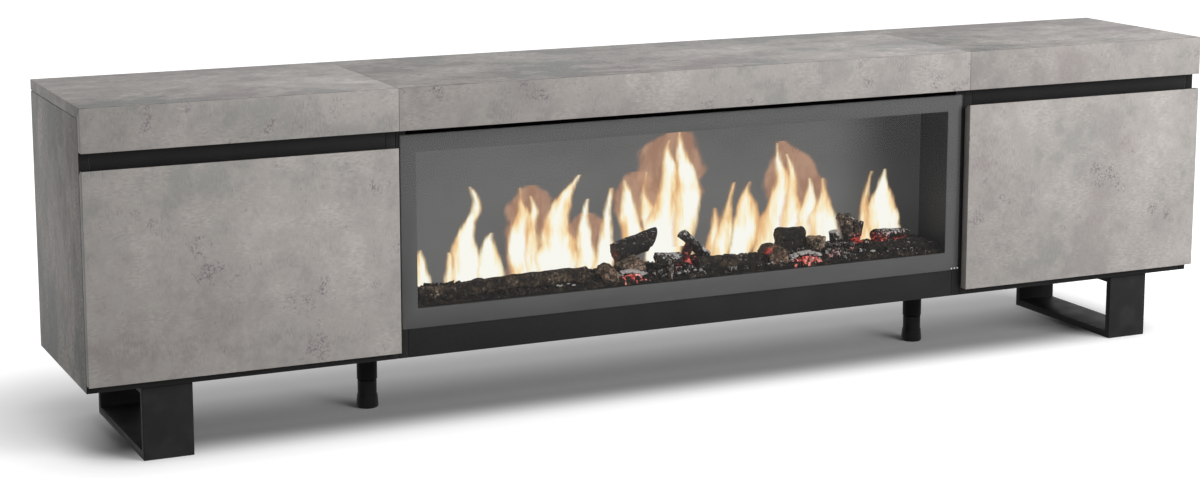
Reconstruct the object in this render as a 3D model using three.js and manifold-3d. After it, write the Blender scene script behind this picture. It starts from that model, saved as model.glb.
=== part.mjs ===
// A low, three-part television stand with a wide electric fireplace in its middle cabinet.
// Millimetres. X runs along the width, the front faces -Y, Z is up.
// The origin is on the floor, in the middle of the footprint.

import * as THREE from 'three';
import Module from 'manifold-3d';
import { mergeVertices } from 'three/addons/utils/BufferGeometryUtils.js';

const wasm = await Module();
wasm.setup();

// Overall sizes
const overallWidth = 2000;
const overallDepth = 335;
const overallHeight = 540;
const sideCabinetWidth = 485;
const legHeight = 114;

// Boards
const boardThickness = 16;
const backPanelThickness = 3;
const backPanelInset = 8;
const fasciaHeight = 66;
const gripGapHeight = 26;
const bottomReveal = 13;
const gripRailLap = 8;
const shelfSetback = 40;
const shelfHeightShare = 0.5;
const shadowGrooveDepth = 1.5;
const shadowGrooveHeight = 1.6;
const cabinetGap = 0.6;

// Clearances
const seatGap = 0.3;
const doorGap = 2;
const doorEndReveal = 1;
const cutOverrun = 2;

// Door and cup hinge
const fingerBevel = 8;
const hingeInset = 75;
const cupEdgeDistance = 5;
const cupBoreRadius = 17.5;
const cupBoreDepth = 11.5;
const cupWall = 2;
const cupFloor = 2;
const cupFlangeThickness = 1;
const cupFlangeWidth = 20;
const cupFlangeHeight = 62;
const armWidth = 7;
const armHeight = 12;
const armLength = 70;
const armPlateThickness = 2.5;
const armPlateLength = 42;
const armPlateHeight = 52;
const armPlateSetback = 20;
const cupSides = 28;

// Sled legs: closed loops of wide flat steel
const sledOuterInset = 83;
const sledBandWidth = 77;
const sledBandThickness = 12;
const sledEndInset = 23.5;

// Round legs with a levelling foot that screws in and out
const roundLegRadius = 16.5;
const footNeckRadius = 15.6;
const footPadRadius = 18;
const footPadHeight = 11;
const footPadEdge = 2;
const footNeckTop = 46;
const footStemRadius = 5;
const footStemLength = 45;
const stemClearance = 0.5;
const roundSides = 28;

// Fireplace glass, and the frame behind it that leaves the window
const railReveal = 46;
const warmAirGap = 9;
const glassEndReveal = 6;
const glassThickness = 4;
const frameThickness = 1.5;
const frameSideBorder = 26.5;
const frameBottomBorder = 31;
const frameTopBorder = 28;
const frontRailLap = 12;

// Fireplace case
const caseSideClearance = 4;
const caseTopInset = 3;
const caseDepth = 190;
const rearBattenInset = 20;
const sheetThickness = 1;
const screenDepth = 100;
const screenThickness = 3;
const trayThickness = 2;
const trayDrop = 2;

// Ember bed and logs
const bedEndInset = 4;
const bedFrontInset = 10;
const bedBackInset = 8;
const bedDepth = 16;
const bedBump = 7;
const bedHeap = 17;
const coalWaves = { long: 37, short: 23, wide: 5, cross: 9 };
const bedColumns = 60;
const bedRows = 5;
const logRadius = 15;
const logSides = 9;
const logRings = 5;
const logLobes = 3;
const logWobbleShare = 0.13;
const logTaperShare = 0.16;

// Flame drum, its motor, lamp bar and mains parts
const drumShaftRadius = 3;
const drumShaftClearance = 0.3;
const drumFlagCount = 22;
const drumFlagReach = 17;
const drumFlagWidth = 26;
const drumFlagThickness = 1;
const drumSetback = 34;
const drumAboveFloor = 30;
const drumFlagsPerTurn = 10;
const drumSides = 16;
const drumSeatDepth = 10;
const bushRadius = 8;
const bushLength = 14;
const motorLength = 38;
const motorSize = 34;
const lampBarWidth = 900;
const lampBarDepth = 12;
const lampBarHeight = 8;
const lampBarSetback = 8;
const controlBoxWidth = 120;
const controlBoxDepth = 24;
const controlBoxHeight = 60;
const controlBoxInset = 150;
const inletWidth = 30;
const inletHeight = 24;
const inletDepth = 18;
const inletInset = 60;
const inletAboveFloor = 30;
const inletPocketWall = 3;
const inletPocketDepth = 12;
const cordCutoutWidth = 80;
const cordCutoutHeight = 50;

// Places worked out from the sizes above
const frontY = -overallDepth / 2;
const backY = overallDepth / 2;
const carcassY = frontY + boardThickness + doorGap;
const topUndersideZ = overallHeight - boardThickness;
const sideTopZ = topUndersideZ - seatGap;
const fasciaBottomZ = overallHeight - fasciaHeight;
const doorTopZ = fasciaBottomZ - gripGapHeight;
const doorBottomZ = legHeight + bottomReveal;
const bottomBoardTopZ = legHeight + boardThickness;
const railBottomZ = doorTopZ - gripRailLap;
const backPanelFrontY = backY - backPanelInset - backPanelThickness;
const cabinetJointX = overallWidth / 2 - sideCabinetWidth;
const fireHalfWidth = cabinetJointX - cabinetGap;
const fireInnerX = fireHalfWidth - boardThickness;
const glassBottomZ = legHeight + railReveal;
const glassTopZ = fasciaBottomZ - warmAirGap;
const railTopZ = glassBottomZ + frontRailLap;

// Heights and depths inside the fireplace case
const caseEndX = fireInnerX - caseSideClearance;
const caseFloorZ = railTopZ + seatGap;
const caseTopZ = glassTopZ - caseTopInset;
const caseFrontY = carcassY + seatGap;
const caseBackY = caseFrontY + caseDepth;
const caseInnerX = caseEndX - sheetThickness - seatGap;
const floorTopZ = caseFloorZ + sheetThickness + seatGap;
const trayTopZ = glassBottomZ + frameBottomBorder - trayDrop;
const screenY = caseFrontY + screenDepth;
const drumY = screenY + screenThickness + drumSetback;
const drumZ = caseFloorZ + sheetThickness + drumAboveFloor;
const bushX = caseEndX - sheetThickness - bushLength;
const motorX = -caseInnerX + motorLength;
const inletX = caseEndX - inletInset - inletWidth / 2;
const inletZ = caseFloorZ + inletAboveFloor + inletHeight / 2;

// Finishes
function finish(color, roughness, metalness = 0) {
  return new THREE.MeshStandardMaterial({ color, roughness, metalness });
}
const concreteFinish = () => finish(0x9a9692, 0.6);
const blackBoardFinish = () => finish(0x2a2b2c, 0.55);
const backBoardFinish = () => finish(0x8f8b86, 0.8);
const blackSteelFinish = () => finish(0x1c1c1d, 0.45, 0.3);
const bareSteelFinish = () => finish(0xb4b6b8, 0.35, 0.9);
const caseSteelFinish = () => finish(0x202122, 0.6, 0.3);
const frameFinish = () => finish(0x565655, 0.4, 0.2);
const plasticFinish = () => finish(0x1a1a1a, 0.6);
const screenFinish = () => finish(0x4c4b49, 0.35);
const emberFinish = () => finish(0x2b211b, 0.95);
const logFinish = () => finish(0x3a2b22, 0.95);
const mirrorFinish = () => finish(0xd8d8d8, 0.1, 1);
const lampFinish = () => finish(0xf0dcb8, 0.4);
const glassFinish = () => new THREE.MeshStandardMaterial({
  color: 0xdde6e6,
  roughness: 0.05,
  metalness: 0,
  transparent: true,
  opacity: 0.2,
});

const group = new THREE.Group();

function addPiece(name, geometry, material, place = [0, 0, 0], turn = null) {
  const mesh = new THREE.Mesh(geometry, material);
  mesh.name = name;
  mesh.position.set(...place);
  if (turn) mesh.quaternion.copy(turn);
  group.add(mesh);
  return mesh;
}

// A flat piece between two corners, given as [low, high] along each axis
function addBlock(name, material, xs, ys, zs) {
  const [x0, x1] = ascending(...xs);
  const size = [x1 - x0, ys[1] - ys[0], zs[1] - zs[0]];
  const middle = [(x0 + x1) / 2, (ys[0] + ys[1]) / 2, (zs[0] + zs[1]) / 2];
  return addPiece(name, new THREE.BoxGeometry(...size), material, middle);
}

function blockGeometry(xs, ys, zs) {
  const geometry = new THREE.BoxGeometry(xs[1] - xs[0], ys[1] - ys[0], zs[1] - zs[0]);
  geometry.translate((xs[0] + xs[1]) / 2, (ys[0] + ys[1]) / 2, (zs[0] + zs[1]) / 2);
  return geometry;
}

function outlineShape(points) {
  return new THREE.Shape(points.map(([u, v]) => new THREE.Vector2(u, v)));
}

function outlinePath(points) {
  return new THREE.Path(points.map(([u, v]) => new THREE.Vector2(u, v)));
}

// Two places along an axis, lowest first
function ascending(a, b) {
  return [Math.min(a, b), Math.max(a, b)];
}

// Turns that lay an extruded outline along X (drawn in Y, Z) or along Y (drawn in X, Z)
function turnFromAxes(x, y, z) {
  const axes = [x, y, z].map((axis) => new THREE.Vector3(...axis));
  return new THREE.Quaternion().setFromRotationMatrix(new THREE.Matrix4().makeBasis(...axes));
}
const alongX = turnFromAxes([0, 1, 0], [0, 0, 1], [1, 0, 0]);
const alongY = turnFromAxes([1, 0, 0], [0, 0, 1], [0, -1, 0]);

function extrude(shape, depth) {
  return new THREE.ExtrudeGeometry(shape, { depth, bevelEnabled: false, curveSegments: 1 });
}

// Joining and cutting of closed meshes
function toSolid(geometry) {
  const bare = geometry.clone();
  bare.deleteAttribute('normal');
  bare.deleteAttribute('uv');
  const merged = mergeVertices(bare);
  const vertProperties = new Float32Array(merged.attributes.position.array);
  const triVerts = new Uint32Array(merged.index.array);
  return new wasm.Manifold(new wasm.Mesh({ numProp: 3, vertProperties, triVerts }));
}

function fromSolid(solid) {
  const mesh = solid.getMesh();
  const geometry = new THREE.BufferGeometry();
  geometry.setAttribute('position', new THREE.BufferAttribute(mesh.vertProperties, 3));
  geometry.setIndex(new THREE.BufferAttribute(mesh.triVerts, 1));
  const loose = geometry.toNonIndexed();
  loose.computeVertexNormals();
  return loose;
}

// A round bar along Y between two depths
function barAlongY(radius, x, z, y0, y1, sides) {
  const geometry = new THREE.CylinderGeometry(radius, radius, y1 - y0, sides);
  geometry.translate(x, (y0 + y1) / 2, z);
  return geometry;
}

// A round bar along X between two ends
function barAlongX(radius, y, z, x0, x1, sides) {
  const geometry = new THREE.CylinderGeometry(radius, radius, x1 - x0, sides);
  geometry.rotateZ(Math.PI / 2);
  geometry.translate((x0 + x1) / 2, y, z);
  return geometry;
}

// Top board and fascia meet in a mitre along the front edge
function addMitredTop(prefix, x0, x1) {
  const mitreGap = seatGap * Math.SQRT2;
  const innerY = frontY + boardThickness;
  const board = outlineShape([
    [frontY, overallHeight],
    [innerY, topUndersideZ],
    [backY, topUndersideZ],
    [backY, overallHeight],
  ]);
  const fascia = outlineShape([
    [frontY, fasciaBottomZ],
    [innerY, fasciaBottomZ],
    [innerY, topUndersideZ - mitreGap],
    [frontY, overallHeight - mitreGap],
  ]);
  addPiece(`${prefix}_top_board`, extrude(board, x1 - x0), concreteFinish(), [x0, 0, 0], alongX);
  addPiece(`${prefix}_fascia`, extrude(fascia, x1 - x0), concreteFinish(), [x0, 0, 0], alongX);
}

// Cup hinge: the cup is sunk in the back of the door, the arm is screwed to the side panel
const cupX = cupEdgeDistance + cupBoreRadius;
const cupFloorY = frontY + boardThickness - cupBoreDepth + seatGap;
const cupPocketY = cupFloorY + cupFloor;
const flangeY = frontY + boardThickness + seatGap;

function cupGeometry(x, z) {
  const outerRadius = cupBoreRadius - seatGap;
  const flangeBack = flangeY + cupFlangeThickness;
  const half = cupFlangeWidth / 2;
  const shell = toSolid(barAlongY(outerRadius, x, z, cupFloorY, flangeBack, cupSides));
  const flange = toSolid(blockGeometry(
    [x - half, x + half],
    [flangeY, flangeBack],
    [z - cupFlangeHeight / 2, z + cupFlangeHeight / 2],
  ));
  const pocket = toSolid(barAlongY(
    outerRadius - cupWall, x, z, cupPocketY, flangeBack + cutOverrun, cupSides,
  ));
  return fromSolid(shell.add(flange).subtract(pocket));
}

function armGeometry(outerX, inward, z) {
  const plateX0 = outerX + inward * (boardThickness + seatGap);
  const plateX1 = plateX0 + inward * armPlateThickness;
  const barX0 = outerX + inward * (cupX - armWidth / 2 + armPlateThickness);
  const barX1 = barX0 + inward * armWidth;
  const noseY = cupPocketY + seatGap;
  const plateY0 = carcassY + armPlateSetback;
  const plateY1 = plateY0 + armPlateLength;
  const bar = toSolid(blockGeometry(
    ascending(barX0, barX1),
    [noseY, noseY + armLength],
    [z - armHeight / 2, z + armHeight / 2],
  ));
  const foot = toSolid(blockGeometry(
    ascending(plateX0, barX1),
    [plateY0, noseY + armLength],
    [z - armHeight / 2, z + armHeight / 2],
  ));
  const plate = toSolid(blockGeometry(
    ascending(plateX0, plateX1),
    [plateY0, plateY1],
    [z - armPlateHeight / 2, z + armPlateHeight / 2],
  ));
  return fromSolid(bar.add(foot).add(plate));
}

function doorGeometry(x0, x1, cups) {
  const rearY = frontY + boardThickness;
  const outline = outlineShape([
    [frontY, doorBottomZ],
    [rearY, doorBottomZ],
    [rearY, doorTopZ - fingerBevel],
    [rearY - fingerBevel, doorTopZ],
    [frontY, doorTopZ],
  ]);
  const geometry = extrude(outline, x1 - x0);
  geometry.applyQuaternion(alongX);
  geometry.translate(x0, 0, 0);
  let solid = toSolid(geometry);
  for (const [x, z] of cups) {
    const boreFloorY = rearY - cupBoreDepth;
    const bore = barAlongY(cupBoreRadius, x, z, boreFloorY, rearY + cutOverrun, cupSides);
    solid = solid.subtract(toSolid(bore));
  }
  return fromSolid(solid);
}

// One side cabinet: side is its name, outward is -1 on the left and 1 on the right
function addSideCabinet(side, outward) {
  const outerX = outward * overallWidth / 2;
  const inward = -outward;
  const jointX = outward * cabinetJointX;
  const outerPanelX = outerX + inward * boardThickness;
  const innerPanelX = jointX + outward * boardThickness;
  const between = ascending(outerPanelX + inward * seatGap, innerPanelX - inward * seatGap);
  const width = ascending(outerX, jointX);

  addMitredTop(side, width[0], width[1]);

  const panelHeight = [legHeight, sideTopZ];
  const outerPanel = outlineShape([
    [outerX, panelHeight[0]],
    [outerPanelX, panelHeight[0]],
    [outerPanelX, panelHeight[1]],
    [outerX + inward * shadowGrooveDepth, panelHeight[1]],
    [outerX + inward * shadowGrooveDepth, panelHeight[1] - shadowGrooveHeight],
    [outerX, panelHeight[1] - shadowGrooveHeight],
  ]);
  const panelDepth = backY - carcassY;
  addPiece(
    `${side}_outer_side_panel`, extrude(outerPanel, panelDepth), concreteFinish(),
    [0, backY, 0], alongY,
  );
  addBlock(
    `${side}_inner_side_panel`, blackBoardFinish(),
    ascending(jointX, innerPanelX), [carcassY, backY], panelHeight,
  );
  addBlock(
    `${side}_bottom_board`, blackBoardFinish(),
    between, [carcassY, backPanelFrontY - seatGap], [legHeight, bottomBoardTopZ],
  );
  addBlock(
    `${side}_back_panel`, backBoardFinish(),
    between, [backPanelFrontY, backPanelFrontY + backPanelThickness], [legHeight, sideTopZ],
  );
  addBlock(
    `${side}_grip_rail`, blackBoardFinish(),
    between, [carcassY, carcassY + boardThickness], [railBottomZ, sideTopZ],
  );
  const shelfZ = bottomBoardTopZ + (railBottomZ - bottomBoardTopZ) * shelfHeightShare;
  addBlock(
    `${side}_shelf`, blackBoardFinish(),
    between, [carcassY + shelfSetback, backPanelFrontY - seatGap],
    [shelfZ - boardThickness / 2, shelfZ + boardThickness / 2],
  );

  const hingeX = outerX + inward * cupX;
  const hinges = [['upper', doorTopZ - hingeInset], ['lower', doorBottomZ + hingeInset]];
  const doorEnds = ascending(outerX, jointX + outward * doorEndReveal);
  const cups = hinges.map(([, z]) => [hingeX, z]);
  addPiece(`${side}_door`, doorGeometry(doorEnds[0], doorEnds[1], cups), concreteFinish());
  for (const [level, z] of hinges) {
    addPiece(`${side}_${level}_hinge_cup`, cupGeometry(hingeX, z), bareSteelFinish());
    addPiece(`${side}_${level}_hinge_arm`, armGeometry(outerX, inward, z), bareSteelFinish());
  }

  addSledLeg(side, outward);
  addRoundLeg(side, jointX);
}

function addSledLeg(side, outward) {
  const loopTopZ = legHeight - seatGap;
  const band = sledBandThickness;
  const y0 = frontY + sledEndInset;
  const y1 = backY - sledEndInset;
  const loop = outlineShape([[y0, 0], [y1, 0], [y1, loopTopZ], [y0, loopTopZ]]);
  loop.holes.push(outlinePath([
    [y0 + band, band],
    [y0 + band, loopTopZ - band],
    [y1 - band, loopTopZ - band],
    [y1 - band, band],
  ]));
  const outerX = outward * (overallWidth / 2 - sledOuterInset);
  const lowX = Math.min(outerX, outerX - outward * sledBandWidth);
  addPiece(`${side}_sled_leg`, extrude(loop, sledBandWidth), blackSteelFinish(), [lowX, 0, 0], alongX);
}

function lathe(points) {
  const geometry = new THREE.LatheGeometry(points.map(([r, z]) => new THREE.Vector2(r, z)), roundSides);
  geometry.rotateX(Math.PI / 2);
  return geometry;
}

function addRoundLeg(side, x) {
  const legTopZ = legHeight - seatGap;
  const legBottomZ = footNeckTop + seatGap;
  const boreRadius = footStemRadius + stemClearance;
  const boreTopZ = footNeckTop + footStemLength + seatGap;
  const leg = lathe([
    [0, boreTopZ],
    [boreRadius, boreTopZ],
    [boreRadius, legBottomZ],
    [roundLegRadius, legBottomZ],
    [roundLegRadius, legTopZ],
    [0, legTopZ],
  ]);
  const foot = lathe([
    [0, 0],
    [footPadRadius - footPadEdge, 0],
    [footPadRadius, footPadEdge],
    [footPadRadius, footPadHeight - footPadEdge],
    [footNeckRadius, footPadHeight],
    [footNeckRadius, footNeckTop],
    [footStemRadius, footNeckTop],
    [footStemRadius, footNeckTop + footStemLength],
    [0, footNeckTop + footStemLength],
  ]);
  addPiece(`${side}_round_leg`, leg, blackSteelFinish(), [x, 0, 0]);
  addPiece(`${side}_levelling_foot`, foot, plasticFinish(), [x, 0, 0]);
}

// Middle cabinet, open at the front for the fireplace
function addFireCabinet() {
  addMitredTop('fire', -fireHalfWidth, fireHalfWidth);
  const panelHeight = [legHeight, sideTopZ];
  for (const [side, outward] of [['left', -1], ['right', 1]]) {
    addBlock(
      `fire_${side}_side_panel`, blackBoardFinish(),
      [outward * fireHalfWidth, outward * fireInnerX], [carcassY, backY], panelHeight,
    );
  }
  const between = [-fireInnerX + seatGap, fireInnerX - seatGap];
  const railBackY = carcassY + boardThickness;
  addBlock(
    'fire_front_rail', blackBoardFinish(),
    between, [carcassY, railBackY], [legHeight, railTopZ],
  );
  addBlock(
    'fire_bottom_board', blackBoardFinish(),
    between, [railBackY + seatGap, backPanelFrontY - seatGap], [legHeight, bottomBoardTopZ],
  );
  addBlock(
    'fire_rear_batten', blackBoardFinish(),
    between, [caseBackY - rearBattenInset - boardThickness, caseBackY - rearBattenInset],
    [bottomBoardTopZ + seatGap, railTopZ],
  );

  // The back panel has a cut-out behind the mains inlet, for the cord
  const backY1 = backPanelFrontY + backPanelThickness;
  const panel = outlineShape([
    [between[0], panelHeight[0]],
    [between[1], panelHeight[0]],
    [between[1], panelHeight[1]],
    [between[0], panelHeight[1]],
  ]);
  const halfWidth = cordCutoutWidth / 2;
  const halfHeight = cordCutoutHeight / 2;
  panel.holes.push(outlinePath([
    [inletX - halfWidth, inletZ - halfHeight],
    [inletX - halfWidth, inletZ + halfHeight],
    [inletX + halfWidth, inletZ + halfHeight],
    [inletX + halfWidth, inletZ - halfHeight],
  ]));
  addPiece(
    'fire_back_panel', extrude(panel, backPanelThickness), backBoardFinish(), [0, backY1, 0], alongY,
  );
}

function addFireplaceCase() {
  const sheet = sheetThickness;
  const across = [-caseInnerX, caseInnerX];
  const innerBackY = caseBackY - sheet - seatGap;
  addBlock(
    'insert_back_plate', caseSteelFinish(),
    across, [caseBackY - sheet, caseBackY], [caseFloorZ, caseTopZ],
  );
  addBlock(
    'insert_floor_plate', caseSteelFinish(),
    across, [caseFrontY, innerBackY], [caseFloorZ, caseFloorZ + sheet],
  );
  addBlock(
    'insert_top_plate', caseSteelFinish(),
    across, [caseFrontY, innerBackY], [caseTopZ - sheet, caseTopZ],
  );
  addBlock(
    'insert_left_end_plate', caseSteelFinish(),
    [-caseEndX, -caseEndX + sheet], [caseFrontY, caseBackY], [caseFloorZ, caseTopZ],
  );

  // The right end plate carries the bush that the drum's shaft turns in
  const plateX = caseEndX - sheet;
  const plate = toSolid(blockGeometry(
    [plateX, caseEndX], [caseFrontY, caseBackY], [caseFloorZ, caseTopZ],
  ));
  const bush = toSolid(barAlongX(bushRadius, drumY, drumZ, bushX, plateX + sheet / 2, drumSides));
  const seat = toSolid(barAlongX(
    drumShaftRadius + drumShaftClearance, drumY, drumZ,
    bushX - cutOverrun, bushX + drumSeatDepth, drumSides,
  ));
  addPiece('insert_right_end_plate', fromSolid(plate.add(bush).subtract(seat)), caseSteelFinish());
}

function addFront() {
  const frameY1 = carcassY - seatGap;
  const frameY0 = frameY1 - frameThickness;
  const glassY1 = frameY0 - seatGap;
  const glassEndX = cabinetJointX - glassEndReveal;
  const windowEndX = glassEndX - frameSideBorder;
  const windowBottomZ = glassBottomZ + frameBottomBorder;
  const windowTopZ = glassTopZ - frameTopBorder;
  const ring = outlineShape([
    [-glassEndX, glassBottomZ],
    [glassEndX, glassBottomZ],
    [glassEndX, glassTopZ],
    [-glassEndX, glassTopZ],
  ]);
  ring.holes.push(outlinePath([
    [-windowEndX, windowBottomZ],
    [-windowEndX, windowTopZ],
    [windowEndX, windowTopZ],
    [windowEndX, windowBottomZ],
  ]));
  addPiece('insert_frame', extrude(ring, frameThickness), frameFinish(), [0, frameY1, 0], alongY);
  addBlock(
    'front_glass', glassFinish(),
    [-glassEndX, glassEndX], [glassY1 - glassThickness, glassY1], [glassBottomZ, glassTopZ],
  );
}

// A log is a tapered, slightly uneven bar along X, grown by a margin where it cuts the bed
function logGeometry(length, radius, seed, grow) {
  const positions = [];
  const index = [];
  for (let ring = 0; ring <= logRings; ring += 1) {
    const along = ring / logRings;
    const x = (along - 1 / 2) * (length + 2 * grow);
    const taper = 1 - logTaperShare * Math.abs(2 * along - 1) ** 3;
    for (let side = 0; side < logSides; side += 1) {
      const angle = (2 * Math.PI * side) / logSides;
      const wobble = 1 + logWobbleShare * Math.sin(seed + logLobes * angle + 2 * along);
      const r = radius * taper * wobble + grow;
      positions.push(x, r * Math.cos(angle), r * Math.sin(angle));
    }
  }
  for (let ring = 0; ring < logRings; ring += 1) {
    for (let side = 0; side < logSides; side += 1) {
      const a = ring * logSides + side;
      const b = ring * logSides + (side + 1) % logSides;
      index.push(a, b, b + logSides, a, b + logSides, a + logSides);
    }
  }
  for (let side = 1; side < logSides - 1; side += 1) {
    const last = logRings * logSides;
    index.push(0, side + 1, side, last, last + side, last + side + 1);
  }
  const geometry = new THREE.BufferGeometry();
  geometry.setAttribute('position', new THREE.Float32BufferAttribute(positions, 3));
  geometry.setIndex(index);
  geometry.computeVertexNormals();
  return geometry;
}

// Each log's place along, across and above the bed, its length along the bed, radius and turns
const logShares = [
  { along: -0.332, across: 0.265, up: 0.06, length: 0.296, radius: 0.83, spin: 0.005, tip: -0.004 },
  { along: -0.074, across: 0.73, up: 2.06, length: 0.084, radius: 1.07, spin: 0.02, tip: -0.04 },
  { along: 0.029, across: 0.57, up: 1.82, length: 0.063, radius: 0.6, spin: -0.02, tip: 0.11 },
  { along: 0.076, across: 0.216, up: 0.03, length: 0.1145, radius: 0.83, spin: -0.01, tip: 0 },
  { along: 0.421, across: 0.63, up: 0.76, length: 0.074, radius: 0.67, spin: 0.03, tip: 0 },
];

// Stumps and log ends that are moulded in one piece with the bed, given in the same way
const stumpShares = [
  { along: -0.143, across: 0.33, up: 0.06, length: 0.046, radius: 0.93, spin: 0.25, tip: 0 },
  { along: -0.091, across: 0.57, up: 0.18, length: 0.061, radius: 1.33, spin: 0.22, tip: 0 },
  { along: -0.034, across: 0.39, up: 0.12, length: 0.043, radius: 0.67, spin: 0, tip: 0.25 },
  { along: 0.176, across: 0.41, up: 0.12, length: 0.056, radius: 1.13, spin: 0.27, tip: 0 },
  { along: 0.231, across: 0.81, up: 1.1, length: 0.045, radius: 1.2, spin: 0, tip: 0.25 },
  { along: 0.265, across: 0.58, up: 0.24, length: 0.037, radius: 1, spin: 0, tip: 0.25 },
  { along: 0.335, across: 0.655, up: 1.6, length: 0.053, radius: 0.93, spin: 0, tip: 0.23 },
  { along: 0.409, across: 0.24, up: -0.18, length: 0.115, radius: 0.83, spin: 0.01, tip: 0 },
];

function logPlace(shares) {
  const bedLength = 2 * (caseInnerX - bedEndInset);
  const y0 = caseFrontY + bedFrontInset;
  const y1 = screenY - bedBackInset;
  return {
    place: [
      shares.along * bedLength,
      y0 + shares.across * (y1 - y0),
      trayTopZ + bedDepth + shares.up * bedHeap,
    ],
    turn: new THREE.Quaternion().setFromEuler(new THREE.Euler(
      0, 2 * Math.PI * shares.tip, 2 * Math.PI * shares.spin, 'ZYX',
    )),
    length: shares.length * bedLength,
    radius: shares.radius * logRadius,
  };
}

// Heaps of coals along the bed: the middle, half width and rise of each, as shares
const heapShares = [
  { at: -0.33, spread: 0.17, rise: 0.3 },
  { at: -0.09, spread: 0.05, rise: 1.2 },
  { at: 0.03, spread: 0.035, rise: 1.2 },
  { at: 0.18, spread: 0.06, rise: 0.4 },
  { at: 0.27, spread: 0.05, rise: 0.6 },
  { at: 0.335, spread: 0.04, rise: 1 },
  { at: 0.42, spread: 0.06, rise: 0.7 },
];

// Crest height of the bed above its tray: small coals everywhere and heaps under the logs
function bedHeight(along, across) {
  const coals = Math.sin(coalWaves.long * along + coalWaves.wide * across)
    * Math.cos(coalWaves.short * along - coalWaves.cross * across);
  let heap = 0;
  for (const { at, spread, rise } of heapShares) {
    heap += rise * Math.exp(-(((along - at) / spread) ** 2));
  }
  const edge = Math.sin(Math.PI * across);
  return bedDepth + bedBump * coals * edge + bedHeap * heap * edge;
}

function bedGeometry() {
  const halfLength = caseInnerX - bedEndInset;
  const y0 = caseFrontY + bedFrontInset;
  const y1 = screenY - bedBackInset;
  const baseZ = trayTopZ + seatGap;
  const positions = [];
  const index = [];
  const stride = bedRows + 1;
  for (let layer = 0; layer < 2; layer += 1) {
    for (let column = 0; column <= bedColumns; column += 1) {
      for (let row = 0; row <= bedRows; row += 1) {
        const along = column / bedColumns - 1 / 2;
        const across = row / bedRows;
        const top = trayTopZ + bedHeight(along, across);
        positions.push(2 * along * halfLength, y0 + across * (y1 - y0), layer ? top : baseZ);
      }
    }
  }
  const layerSize = (bedColumns + 1) * stride;
  const quad = (a, b, c, d) => index.push(a, b, c, a, c, d);
  for (let column = 0; column < bedColumns; column += 1) {
    for (let row = 0; row < bedRows; row += 1) {
      const a = column * stride + row;
      quad(a, a + 1, a + stride + 1, a + stride);
      quad(layerSize + a, layerSize + a + stride, layerSize + a + stride + 1, layerSize + a + 1);
    }
    const front = column * stride;
    quad(front, front + stride, layerSize + front + stride, layerSize + front);
    const back = front + bedRows;
    quad(back, layerSize + back, layerSize + back + stride, back + stride);
  }
  for (let row = 0; row < bedRows; row += 1) {
    const end = bedColumns * stride + row;
    quad(row, layerSize + row, layerSize + row + 1, row + 1);
    quad(end, end + 1, layerSize + end + 1, layerSize + end);
  }
  const geometry = new THREE.BufferGeometry();
  geometry.setAttribute('position', new THREE.Float32BufferAttribute(positions, 3));
  geometry.setIndex(index);
  return geometry;
}

function placedLog(place, turn, length, radius, seed, grow) {
  const log = logGeometry(length, radius, seed, grow);
  log.applyQuaternion(turn);
  log.translate(...place);
  return toSolid(log);
}

function addFireBed() {
  addBlock(
    'ember_tray', caseSteelFinish(),
    [-caseInnerX, caseInnerX], [caseFrontY, screenY + screenThickness],
    [trayTopZ - trayThickness, trayTopZ],
  );
  addBlock(
    'flame_screen', screenFinish(),
    [-caseInnerX, caseInnerX], [screenY, screenY + screenThickness],
    [trayTopZ + seatGap, caseTopZ - sheetThickness - seatGap],
  );
  let bed = toSolid(bedGeometry());
  stumpShares.forEach((shares, number) => {
    const { place, turn, length, radius } = logPlace(shares);
    bed = bed.add(placedLog(place, turn, length, radius, number, 0));
  });
  const bedX = caseInnerX - bedEndInset;
  bed = bed.intersect(toSolid(blockGeometry(
    [-bedX, bedX], [caseFrontY + bedFrontInset, screenY - bedBackInset],
    [trayTopZ + seatGap, caseTopZ],
  )));
  logShares.forEach((shares, number) => {
    const { place, turn, length, radius } = logPlace(shares);
    bed = bed.subtract(placedLog(place, turn, length, radius, number, seatGap));
    addPiece(`fire_log_${number + 1}`, logGeometry(length, radius, number, 0), logFinish(), place, turn);
  });
  addPiece('ember_bed', fromSolid(bed), emberFinish());
}

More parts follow.
